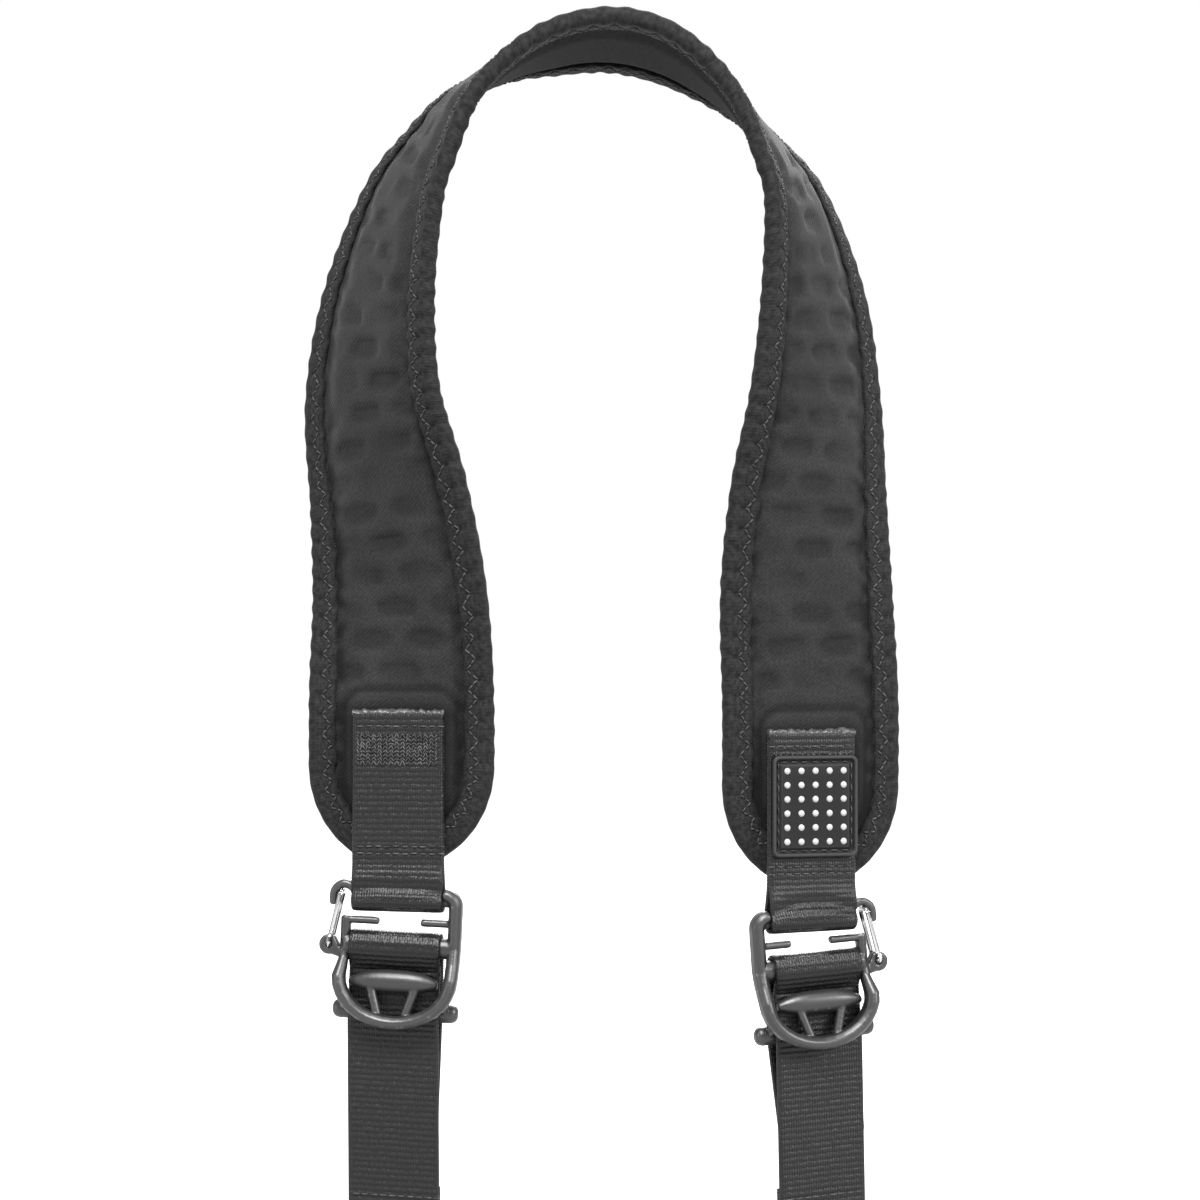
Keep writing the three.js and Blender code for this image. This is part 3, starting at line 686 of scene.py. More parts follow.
def plated_zinc(buckle):
    """Die-cast zinc with satin gunmetal plating: fine grain, and lighter on rubbed edges."""
    material, tree, shader = new_material("gunmetal_plated_cast_zinc", {"Metallic": 0.85})
    place = add_node(tree, "ShaderNodeTexCoord", {}, {})
    shape = add_node(tree, "ShaderNodeNewGeometry", {}, {})
    grain = add_node(tree, "ShaderNodeTexNoise", {}, {
        "Vector": place.outputs["Object"], "Scale": 1 / (0.6 * MM), "Detail": 3.0})
    cloud = add_node(tree, "ShaderNodeTexNoise", {}, {
        "Vector": place.outputs["Object"], "Scale": 1 / (6 * MM), "Detail": 3.0})
    rubbed = add_node(tree, "ShaderNodeMapRange", {}, {
        "Value": shape.outputs["Pointiness"], "From Min": 0.5, "From Max": 0.6, "To Max": 0.7})
    tint = add_node(tree, "ShaderNodeMix", BLEND, {
        SHARE: rubbed.outputs[0], FIRST: opaque(buckle.casting), SECOND: opaque(buckle.edge)})
    tree.links.new(tint.outputs[BLENDED], shader.inputs["Base Color"])
    rough = add_node(tree, "ShaderNodeMapRange", {}, {
        "Value": cloud.outputs[0], "To Min": 0.34, "To Max": 0.52})
    tree.links.new(rough.outputs[0], shader.inputs["Roughness"])
    bump = add_node(tree, "ShaderNodeBump", {}, {
        "Strength": 0.15, "Distance": 0.08 * MM, "Height": grain.outputs[0]})
    tree.links.new(bump.outputs[0], shader.inputs["Normal"])
    return material


def spring_wire(buckle):
    """Drawn and polished spring steel: bright, with faint marks along the wire."""
    material, tree, shader = new_material("polished_spring_steel", {
        "Base Color": opaque(buckle.steel), "Metallic": 1.0})
    place = add_node(tree, "ShaderNodeTexCoord", {}, {})
    marks = add_node(tree, "ShaderNodeTexNoise", {}, {
        "Vector": place.outputs["Object"], "Scale": 1 / (1.5 * MM), "Detail": 2.0})
    rough = add_node(tree, "ShaderNodeMapRange", {}, {
        "Value": marks.outputs[0], "To Min": 0.08, "To Max": 0.24})
    tree.links.new(rough.outputs[0], shader.inputs["Roughness"])
    return material


def moulded_rubber(patch):
    """Moulded soft rubber: matt black, with lighter raised rims."""
    material, tree, shader = new_material("moulded_rubber", {
        "IOR": 1.52, "Roughness": 0.58, "Specular IOR Level": 0.12})
    place = add_node(tree, "ShaderNodeTexCoord", {}, {})
    rubbed = add_node(tree, "ShaderNodeAttribute", {"attribute_name": "rubbed"}, {})
    grit = add_node(tree, "ShaderNodeTexNoise", {}, {
        "Vector": place.outputs["Object"], "Scale": 1 / (0.6 * MM), "Detail": 2.0})
    shade = add_node(tree, "ShaderNodeMapRange", {}, {
        "Value": grit.outputs[0], "To Min": 0.8, "To Max": 1.2})
    base = add_node(tree, "ShaderNodeMix", BLEND, {
        SHARE: rubbed.outputs["Fac"], FIRST: opaque(patch.rubber), SECOND: opaque(patch.rim)})
    tint = add_node(tree, "ShaderNodeMix", TINT, {
        SHARE: 1.0, FIRST: base.outputs[BLENDED], SECOND: shade.outputs[0]})
    tree.links.new(tint.outputs[BLENDED], shader.inputs["Base Color"])
    bump = add_node(tree, "ShaderNodeBump", {}, {
        "Strength": 0.2, "Distance": 0.06 * MM, "Height": grit.outputs[0]})
    tree.links.new(bump.outputs[0], shader.inputs["Normal"])
    return material


def dot_paint(patch):
    """Screen-printed paint on rubber: off-white, slightly rubbed."""
    material, tree, shader = new_material("screen_printed_paint", {"Roughness": 0.6})
    place = add_node(tree, "ShaderNodeTexCoord", {}, {})
    rub = add_node(tree, "ShaderNodeTexNoise", {}, {
        "Vector": place.outputs["Object"], "Scale": 1 / (2 * MM), "Detail": 3.0})
    shade = add_node(tree, "ShaderNodeMapRange", {}, {
        "Value": rub.outputs[0], "To Min": 0.85, "To Max": 1.05})
    tint = add_node(tree, "ShaderNodeMix", TINT, {
        SHARE: 1.0, FIRST: opaque(patch.paint), SECOND: shade.outputs[0]})
    tree.links.new(tint.outputs[BLENDED], shader.inputs["Base Color"])
    return material


# Pieces

class STRAP_OT_pad(bpy.types.Operator):
    """Foam pad in its twill cover, with rows of soft dents, and the lining behind it"""

    bl_idname = "strap.pad"
    bl_label = "Pad"

    END_ROWS = 30
    ROW = 1.15 * MM
    COLUMNS = 44
    INSET = 1.35 * MM
    RIM_EDGE = 0.6 * MM
    # Distances from the rim over which the foam swells, the dents begin and the cover turns uneven.
    PUFF = (8.4 * MM, 15.5 * MM)
    DENTS_FROM = (8.6 * MM, 10.2 * MM)
    UNEVEN_FROM = (9 * MM, 13 * MM)
    # Sizes of the cover's slow waves, and their heights on the front and the back.
    WAVE, CROSS_WAVE = 22 * MM, 8 * MM
    CROSS_STRETCH = np.array([1, 0.3, 1])
    FRONT_WAVES, BACK_WAVES = 0.22 * MM, 0.16 * MM
    # Dents fade in patches of one size and have ragged edges of another.
    FADE_SIZE, RAGGED_SIZE = 14 * MM, 4 * MM
    FADE = (-0.7, 0.35)
    RAGGED = 0.16
    SQUARENESS = 3
    DENT_WALL = (0.76, 1.12)
    # Puckers of the cover beside the tape: height, pitch, slant, and distance from the rim with its spread.
    PUCKER, PUCKER_PITCH, PUCKER_SLANT = 0.3 * MM, 5.6 * MM, 1.7 * MM
    PUCKER_LINE = (10.5 * MM, 3 * MM)
    CREASE_TOP = 49.5 * MM
    CREASE_HALF = 15.8 * MM
    CREASE_CORNER = 6 * MM
    CREASE_WIDTH = 0.9 * MM
    CREASE_DEPTH = 0.8 * MM
    CREASE_CLEAR = 3 * MM
    TAB_HALF = 12.7 * MM
    TAB_TOP = 43 * MM
    # Painted shade: how much darker the cover is in dents, in the crease, beside the tab and in blotches
    # along the tape.
    DENT_SHADE, CREASE_SHADE, TAB_SHADE = 0.44, 0.75, 0.75
    TAB_SHADE_WIDTH = 2.4 * MM
    BORDER_LINE = (8.7 * MM, 1.9 * MM)
    BLOTCH_SIZE = 3.4 * MM
    BLOTCH_MIDDLE, BLOTCH_SPREAD = 0.65, 1.5

    def execute(self, context):
        pad = context.scene.strap_pad
        s, w = self.flat_pattern(pad)
        outline = Outline(pad.half_width, pad.end_rise)
        rim = outline.distance(s, w)
        half = self.half_thickness(pad, rim)
        from_tip = np.minimum(s, BAND.length - s)
        flat = np.stack([s, w, np.zeros_like(s)], -1)
        uneven = ripple(flat, self.WAVE, 1) + ripple(flat * self.CROSS_STRETCH, self.CROSS_WAVE, 2)
        strength = smoothstep(ripple(flat, self.FADE_SIZE, 3), *self.FADE)
        sunk_and_shade = self.dents(pad, s, w, ripple(flat, self.RAGGED_SIZE, 4)) * strength
        sunk_and_shade *= smoothstep(rim, *self.DENTS_FROM)
        sunk_and_shade *= smoothstep(from_tip, self.CREASE_TOP, self.CREASE_TOP + self.CREASE_CLEAR)
        pucker = np.cos(2 * np.pi * s / self.PUCKER_PITCH + w / self.PUCKER_SLANT)
        pucker *= bell(rim, *self.PUCKER_LINE)
        body = smoothstep(rim, *self.UNEVEN_FROM)
        crease = self.crease(from_tip, w)
        front = half - pad.dent_depth * sunk_and_shade * body + self.FRONT_WAVES * uneven * body
        front += self.PUCKER * pucker * (0.5 + uneven)
        front -= self.CREASE_DEPTH * crease * body
        back = half - self.BACK_WAVES * uneven * body
        rings = np.stack([BAND.place(s, w, front), BAND.place(s, w, -back)[:, ::-1]], 1)
        rows, count = s.shape[0], 2 * s.shape[1]
        faces = ring_faces(rows, count)
        faces += flat_cap(0, count, True) + flat_cap((rows - 1) * count, count, False)
        cloths = [woven_twill(pad), brushed_lining(pad)]
        piece = new_piece("pad_cover", rings, faces, cloths, ["neck_pad"])
        both_ways = [np.concatenate([a, a[:, ::-1]], 1) for a in (s, w)]
        set_uv(piece, np.stack(both_ways, -1))
        # Painted shade: a blotchy line of shadow on the cover along the tape's inner border.
        blotch = self.BLOTCH_MIDDLE + self.BLOTCH_SPREAD * ripple(flat, self.BLOTCH_SIZE, 6)
        border = bell(rim, *self.BORDER_LINE) * np.clip(blotch, 0, 1)
        beside_tab = self.tab_shade(from_tip, w)
        # Painted shade of the dents, the crease, the tab's edges and the tape's border, summed into one
        # share.
        dull = np.clip(self.DENT_SHADE * sunk_and_shade + self.CREASE_SHADE * crease + beside_tab + border, 0, 1)
        set_share(piece, "sunk_and_shade", np.concatenate([dull, np.zeros_like(sunk_and_shade)], 1))
        for face in piece.data.polygons:
            if sum(k % count >= count // 2 for k in face.vertices) >= 3:
                face.material_index = 1
        face_outwards(piece)
        return {"FINISHED"}

    def flat_pattern(self, pad):
        """Grid of s and w over the pad, inside the tape's fold."""
        a, b = pad.half_width - self.INSET, pad.end_rise - self.INSET
        angle = np.pi / 2 * (np.arange(self.END_ROWS) + 0.5) / self.END_ROWS
        end_s, end_half = pad.end_rise - b * np.cos(angle), a * np.sin(angle)
        far = BAND.length - pad.end_rise
        middle = np.linspace(pad.end_rise, far, int((far - pad.end_rise) / self.ROW))
        s = np.concatenate([end_s, middle, (BAND.length - end_s)[::-1]])
        half = np.concatenate([end_half, np.full(len(middle), a), end_half[::-1]])
        share = np.linspace(-1, 1, self.COLUMNS)
        return np.repeat(s[:, None], self.COLUMNS, 1), half[:, None] * share

    def half_thickness(self, pad, rim):
        edge = pad.rim_half - self.RIM_EDGE
        low = self.RIM_EDGE + edge * smoothstep(rim, self.INSET, self.INSET + MM)
        return low + (pad.body_half - pad.rim_half) * smoothstep(rim, *self.PUFF)

    def dents(self, pad, s, w, uneven):
        """Share of the depth, from staggered rows of rounded oblong dents with uneven edges."""
        row = np.round(s / pad.dent_row)
        stagger = np.where(row % 2 == 0, 0.0, pad.dent_pitch / 2)
        across = np.mod(w - stagger + pad.dent_pitch / 2, pad.dent_pitch) - pad.dent_pitch / 2
        along = s - row * pad.dent_row
        wide = np.abs(2 * across / pad.dent_width) ** self.SQUARENESS
        high = np.abs(2 * along / pad.dent_height) ** self.SQUARENESS
        reach = (wide + high) ** (1 / self.SQUARENESS)
        return 1 - smoothstep(reach + self.RAGGED * uneven, *self.DENT_WALL)

    def crease(self, from_tip, w):
        """Narrow crease where the cover is drawn in round the tab."""
        corner = self.CREASE_CORNER
        out = np.maximum(np.abs(w) - self.CREASE_HALF + corner, 0)
        up = np.maximum(from_tip - self.CREASE_TOP + corner, 0)
        return bell(np.hypot(out, up), corner, self.CREASE_WIDTH)

    def tab_shade(self, from_tip, w):
        """Painted shade: a dark band beside the tab's edges, where the cover is pressed down and gets little
        light.
        """
        out = np.maximum(np.abs(w) - self.TAB_HALF, 0)
        up = np.maximum(from_tip - self.TAB_TOP, 0)
        return self.TAB_SHADE * bell(np.hypot(out, up), 0, self.TAB_SHADE_WIDTH)


class STRAP_OT_binding(bpy.types.Operator):
    """Tape folded over the pad's edge, puckered by a zigzag seam on both faces"""

    bl_idname = "strap.binding"
    bl_label = "Binding"

    STEPS = 8
    FOLD = 2.3 * MM
    FACE_STEPS = 14
    UNDER_STEPS = 4
    EDGE_STEPS = 9
    LEG_STITCHES = 2
    WANDER = 0.7 * MM
    WANDER_SIZE = 4 * MM
    # Puckers are calmer at the pad's ends, and each zigzag pulls with its own strength.
    CALM_ENDS = (20 * MM, 60 * MM)
    CALM = 0.3
    PULLS = (0.4, 1.3)
    # Depths of the rolled border, the seam and the needle holes, and heights of the puffs between them.
    BORDER_DROP, BORDER = 0.35 * MM, 1.6 * MM
    SEAM_DROP, SEAM_WIDTH = 0.2 * MM, 0.7 * MM
    HOLE_DROP, HOLE_WIDTH, HOLE_LINE = 0.4 * MM, 0.75 * MM, 3.2 * MM
    OUTER_PUFF, INNER_PUFF = 0.2 * MM, 0.22 * MM
    # Painted shade: how much darker the tape is in the seam and at its rolled border, and that border's
    # width.
    SEAM_SHADE, BORDER_SHADE, DARK_BORDER = 0.35, 0.8, 0.9 * MM
    # Width of tape between two points of a section, for the flat layout of its knit.
    FLAT_STEP = 0.7 * MM
    # Each stitch slips across the seam and swings more or less than its neighbours.
    SLIP = 0.25
    SWINGS = (0.6, 1.1)

    def execute(self, context):
        tape = context.scene.strap_tape
        pad = context.scene.strap_pad
        self.outline = Outline(pad.half_width, pad.end_rise)
        self.zigzags = int(round(self.outline.length / tape.pitch))
        self.pitch = self.outline.length / self.zigzags
        draw = random.Random(11)
        s, _, _ = self.outline.at(np.arange(self.zigzags) * self.pitch)
        from_tip = np.minimum(s, BAND.length - s)
        calm = self.CALM + (1 - self.CALM) * smoothstep(from_tip, *self.CALM_ENDS)
        self.strength = calm * np.array([draw.uniform(*self.PULLS) for _ in range(self.zigzags)])
        piece = self.make_tape(tape)
        seam = self.make_seam(tape)
        return {"FINISHED"}

    def zigzag(self, tape, phase):
        """Inset of the seam: its inner turn at a whole phase and its outer turn halfway."""
        return tape.line + tape.swing * (4 * np.abs(np.mod(phase, 1) - 0.5) - 1)

    def rise(self, tape, phase, inset):
        """Height of the tape's face over the pad's middle, and the shares of the seam's pull and of
        the dimples beside its outer turns."""
        strength = self.pull(phase)
        wave = np.cos(2 * np.pi * phase)
        border = self.BORDER_DROP * smoothstep(inset, tape.width - self.BORDER, tape.width)
        outside = smoothstep(inset, 0, 2 * MM) * (1 - smoothstep(inset, 3 * MM, 5 * MM))
        inside = smoothstep(inset, 6 * MM, 8 * MM)
        puff = wave * strength * (self.OUTER_PUFF * outside - self.INNER_PUFF * inside)
        pulled_and_shade = bell(inset, self.zigzag(tape, phase), self.SEAM_WIDTH)
        holes = bell(inset, self.HOLE_LINE, self.HOLE_WIDTH) * np.clip(-wave, 0, 1) ** 4
        holes = holes * np.minimum(strength, 1)
        drop = self.SEAM_DROP * pulled_and_shade + self.HOLE_DROP * holes
        return tape.half - border + puff - drop, pulled_and_shade, holes

    def pull(self, phase):
        """Strength of the puckers, from one zigzag to the next."""
        around = np.append(self.strength, self.strength[0])
        return np.interp(np.mod(phase, self.zigzags), np.arange(self.zigzags + 1), around)

    def make_tape(self, tape):
        wall, width = tape.wall, tape.width
        inset, share = self.section(width, self.FACE_STEPS, self.FOLD)
        under, under_share = self.section(width, self.UNDER_STEPS, self.FOLD - wall)
        phase = np.arange(self.zigzags * self.STEPS)[:, None] / self.STEPS
        scallop = tape.scallop * np.cos(2 * np.pi * phase) * self.pull(phase)
        zero = np.zeros_like(phase)
        wander = ripple(np.stack([phase * self.pitch, zero, zero], -1), self.WANDER_SIZE, 8)

        def uneven(at):
            """Inset with the scalloped outer edge and the wandering inner border."""
            outer_edge = scallop * (1 - smoothstep(at, 0, 4 * MM))
            return at - outer_edge - self.WANDER * wander * smoothstep(at, width - 1.5 * MM, width)

        rise, pulled_and_shade, holes = self.rise(tape, phase, inset[None])
        outer = self.place(phase, uneven(inset[None]), share * rise)
        under_rise = self.rise(tape, phase, under[None])[0] - wall
        inner = self.place(phase, uneven(under[None]), under_share * under_rise)
        rings = np.concatenate([outer, inner[:, ::-1]], 1)
        count = rings.shape[1]
        faces = ring_faces(len(rings), count, is_loop=True)
        piece = new_piece("edge_tape", rings, faces, [folded_tape(tape)], ["edge_binding"])
        across = np.concatenate([np.cumsum(np.full(len(inset), self.FLAT_STEP)), np.zeros(len(under))])
        along = np.repeat(phase * self.pitch, count, 1)
        set_uv(piece, np.stack([along, np.repeat(across[None], len(rings), 0)], -1))
        # Painted shade in the seam, in the needle holes and along the rolled border.
        border = smoothstep(inset[None], width - self.DARK_BORDER, width)
        dark = self.SEAM_SHADE * pulled_and_shade + holes + self.BORDER_SHADE * border
        set_share(piece, "pulled_and_shade", np.concatenate([dark, np.zeros((len(dark), len(under)))], 1))
        face_outwards(piece)
        return piece

    def section(self, width, steps, reach):
        """Insets over the front face, round the edge and back, with the share of the height at each."""
        face = np.linspace(width, self.FOLD, steps)
        angle = np.linspace(np.pi / 2, -np.pi / 2, self.EDGE_STEPS)[1:-1]
        inset = np.concatenate([face, self.FOLD - reach * np.cos(angle), face[::-1]])
        return inset, np.concatenate([np.ones_like(face), np.sin(angle), -np.ones_like(face)])

    def make_seam(self, tape):
        """Zigzag of single stitches, each with its ends drawn into the tape."""
        share = np.linspace(0.06, 0.94, STITCH_POINTS)
        legs = np.arange(self.zigzags * 2 * self.LEG_STITCHES)
        phase = (legs[:, None] + share) / (2 * self.LEG_STITCHES)
        draw = random.Random(13)
        slip = np.array([draw.uniform(-self.SLIP, self.SLIP) for _ in legs])[:, None] * MM
        swing = np.array([draw.uniform(*self.SWINGS) for _ in legs])[:, None]
        inset = tape.line + swing * (self.zigzag(tape, phase) - tape.line) + slip
        rise = self.rise(tape, phase, inset)[0]
        lift = rise + tape.thread * (np.sin(np.pi * share) * 1.5 - 0.6)
        points, faces = [], []
        for sign in (1, -1):
            paths = self.place(phase, inset, sign * lift)
            normals = self.place(phase, inset, sign * (lift + MM)) - paths
            more, more_faces = tubes(paths, normals / MM, tape.thread)
            first = sum(len(p) for p in points)
            points.append(more)
            faces += [tuple(first + k for k in face) for face in more_faces]
        return new_piece("zigzag_seam", np.concatenate(points), faces,
                         [sewing_thread("twisted_polyester_thread", tape.sewing)])

    def place(self, phase, inset, n):
        phase, inset, n = np.broadcast_arrays(phase, inset, n)
        s, w, into = self.outline.at(phase * self.pitch)
        return BAND.place(s + into[..., 0] * inset, w + into[..., 1] * inset, n)


class Weaver:
    """Makes ribbed webbing along a path in w and v."""

    COLUMNS = 18
    RIB_STEPS = 6
    # Columns crowd towards the edges, where the selvedge has its own finer ribs.
    CROWD = 0.94
    SELVEDGE = 0.014
    SELVEDGE_FROM = (0.9, 0.96)
    EDGE_SQUARENESS = 24
    EDGE_SHARE = 0.25
    WOBBLE, WOBBLE_SIZE = 0.09, 5 * MM

    def __init__(self, settings, material):
        self.settings, self.material = settings, material

    def weave(self, name, node, rests_on, path, place, soften, bulge=None, skew=None, lean=None, seed=0):
        """One band. The bulge moves it along its face, the skew lifts it and the lean shifts it."""
        web = self.settings
        path, arc = even_path(path, web.rib / self.RIB_STEPS, soften)
        along = np.gradient(path, axis=0)
        along /= np.linalg.norm(along, axis=1, keepdims=True)
        normal = np.stack([along[:, 1], -along[:, 0]], 1)
        spread = self.CROWD * np.pi / 2
        x = np.sin(np.linspace(-spread, spread, self.COLUMNS)) / math.sin(spread)
        u = web.half_width * x
        grid = np.stack(np.broadcast_arrays(u[None], arc[:, None], seed * MM), -1)
        wobble = self.WOBBLE * web.rib * ripple(grid, self.WOBBLE_SIZE, seed)
        wave = 0.5 + 0.5 * np.cos(2 * np.pi * (arc[:, None] + wobble) / web.rib)
        body = 1 - smoothstep(np.abs(x), *self.SELVEDGE_FROM)
        edge_wave = 0.5 + 0.5 * np.cos(4 * np.pi * arc[:, None] / web.rib + np.pi * (x > 0))
        rib = wave * body + edge_wave * (1 - body)
        round_edge = np.sqrt(np.clip(1 - np.abs(x) ** self.EDGE_SQUARENESS, 0, 1))
        profile = self.EDGE_SHARE + (1 - self.EDGE_SHARE) * round_edge
        deep = web.thickness / 2 * profile - web.rib_depth * (1 - rib) * (0.4 + 0.6 * body)
        push = bulge(u[None], path[:, 1][:, None], arc[:, None] / arc[-1]) if bulge else np.zeros_like(deep)
        faces_of = []
        for sign, columns in ((1, slice(None)), (-1, slice(None, None, -1))):
            offset = (sign * deep + push)[:, columns]
            w = path[:, :1] + normal[:, :1] * offset
            v = path[:, 1:] + normal[:, 1:] * offset
            across = (u * (1 + self.SELVEDGE * (edge_wave - 0.5) * (np.abs(x) > 0.97)))[:, columns]
            lift = across * (skew(v) if skew else 0.0)
            shift = lean(v, w) if lean else 0.0
            faces_of.append(np.stack([across + shift, w, v + lift], -1))
        rings = place(np.concatenate(faces_of, 1))
        rows, count = rings.shape[:2]
        faces = ring_faces(rows, count)
        faces += flat_cap(0, count, True) + flat_cap((rows - 1) * count, count, False)
        piece = new_piece(name, rings, faces, [self.material], [node])
        twice = np.concatenate([np.repeat(u[None], rows, 0), np.repeat(u[None, ::-1], rows, 0)], 1)
        set_uv(piece, np.stack([twice, np.repeat(arc[:, None], count, 1)], -1))
        # The rib share shapes the ribs and also sets the painted shade of their valleys.
        set_share(piece, "rib", np.concatenate([rib, rib[:, ::-1]], 1))
        face_outwards(piece)
        return piece


STITCH_POINTS = 5


def stitches_on(place, starts, ends, w, radius):
    """Threads from start to end points in u and v, on a face that looks to the front at w."""
    share = np.linspace(0, 1, STITCH_POINTS)[None, :, None]
    line = starts[:, None] * (1 - share) + ends[:, None] * share
    lift = w - radius * (1.6 * np.sin(np.pi * share[..., 0]) - 0.4)
    local = np.stack([line[..., 0], np.broadcast_to(lift, line.shape[:2]), line[..., 1]], -1)
    paths = place(local)
    normals = place(local - np.array([0, MM, 0])) - paths
    return tubes(paths, normals / MM, radius)


class STRAP_OT_tabs(bpy.types.Operator):
    """Webbing tabs folded round the buckles' top bars, with their stitching and melted ends"""

    bl_idname = "strap.tabs"
    bl_label = "Tabs"

    SOFTEN = 2.4 * MM
    BULGE, BULGE_WIDTH = 1.2 * MM, 1.9 * MM
    BEAD = 0.95 * MM
    BEAD_SIDES, BEAD_STEPS = 12, 90
    # Sizes of the bead's lumps and of its slow waves, and the waves' height.
    LUMP, SLOW_LUMP, SLOW_HEIGHT = 1.3 * MM, 7 * MM, 0.35 * MM
    # The dense block of short zigzag stitches.
    DENSE_ROWS, DENSE_PITCH, DENSE_SWING = 8, 0.8 * MM, 0.6
    ROWS = {"single": (47.4, 14.4, 12.4), "dense": (44.6, 37.2)}

    def execute(self, context):
        web = context.scene.strap_webbing
        weaver = Weaver(web, ribbed_nylon(web))
        thread = sewing_thread("twisted_nylon_thread", web.sewing)
        melted = melted_nylon(web)
        for seed, side in enumerate(SIDES):
            hanger = Hanger(side)
            self.make_band(weaver, hanger, side, seed)
            front = -hanger.layer - web.thickness / 2
            self.make_stitching(hanger, side, front, web, thread, seed)
            self.make_bead(hanger, side, web, melted, seed)
        return {"FINISHED"}

    def make_band(self, weaver, hanger, side, seed):
        t = {key: value if key == "follow" else value * MM for key, value in TAB.items()}
        back, front = (hanger.layer, t["spread"]), (-hanger.layer, t["spread"])
        loop = wrap_round((0, 0), t["fold_radius"], back, front, -1)
        path = np.vstack([(back[0], t["top"]), loop, (front[0], t["top"])])
        slope = -t["follow"] * math.tan(hanger.roll)
        middle, edges = (a * MM for a in hanger.arch)

        def skew(v):
            return slope * (1 - smoothstep(v, t["skew_end"], t["skew_start"]))

        def bulge(u, v, share):
            line = middle - (middle - edges) * (u / weaver.settings.half_width) ** 2
            return self.BULGE * bell(v, line, self.BULGE_WIDTH) * smoothstep(share, 0.5, 0.53)

        weaver.weave(f"tab_webbing_{side}", f"webbing_tab_{side}", "pad_cover", path, hanger.on_tab,
                     self.SOFTEN, bulge=bulge, skew=skew, seed=seed + 1)

    def make_stitching(self, hanger, side, front, web, thread, seed):
        draw = random.Random(21 + seed)
        reach = web.half_width - SEAM_MARGIN
        starts, ends = [], []
        for v in self.ROWS["single"]:
            for u in np.arange(-reach, reach, STITCH_PITCH):
                jitter = draw.uniform(-0.12, 0.12) * MM
                starts.append((u, v * MM + jitter))
                ends.append((u + STITCH, v * MM + jitter))
        high, low = self.ROWS["dense"]
        for v in np.linspace(high, low, self.DENSE_ROWS):
            for k, u in enumerate(np.arange(-reach, reach - 0.6 * MM, self.DENSE_PITCH)):
                swing = (self.DENSE_SWING if k % 2 else -self.DENSE_SWING) * draw.uniform(0.2, 1.7) * MM
                starts.append((u, v * MM - swing))
                ends.append((u + self.DENSE_PITCH, v * MM + swing))
        points, faces = stitches_on(hanger.on_tab, np.array(starts), np.array(ends), front, WEB_THREAD)
        new_piece(f"tab_stitching_{side}", points, faces, [thread])

    def make_bead(self, hanger, side, web, melted, seed):
        """Uneven bead along the cut end of both layers."""
        sides, steps = self.BEAD_SIDES, self.BEAD_STEPS
        u = np.linspace(-web.half_width, web.half_width, steps)
        angle = 2 * np.pi * np.arange(sides) / sides
        deep = (hanger.layer + web.thickness / 2) * np.cos(angle)
        high = self.BEAD * np.sin(angle)
        local = np.stack(np.broadcast_arrays(u[:, None], deep, TAB["top"] * MM + high), -1)
        lump = 1 + 0.7 * ripple(local, self.LUMP, seed + 5)
        local[..., 1] *= 0.5 + 0.5 * lump
        wave = self.SLOW_HEIGHT * ripple(local, self.SLOW_LUMP, seed + 9)
        local[..., 2] += (lump - 1) * self.BEAD + wave
        faces = ring_faces(steps, sides)
        faces.append(tuple(reversed(range(sides))))
        faces.append(tuple((steps - 1) * sides + k for k in range(sides)))
        piece = new_piece(f"tab_melted_end_{side}", hanger.on_tab(local), faces, [melted])
        face_outwards(piece)


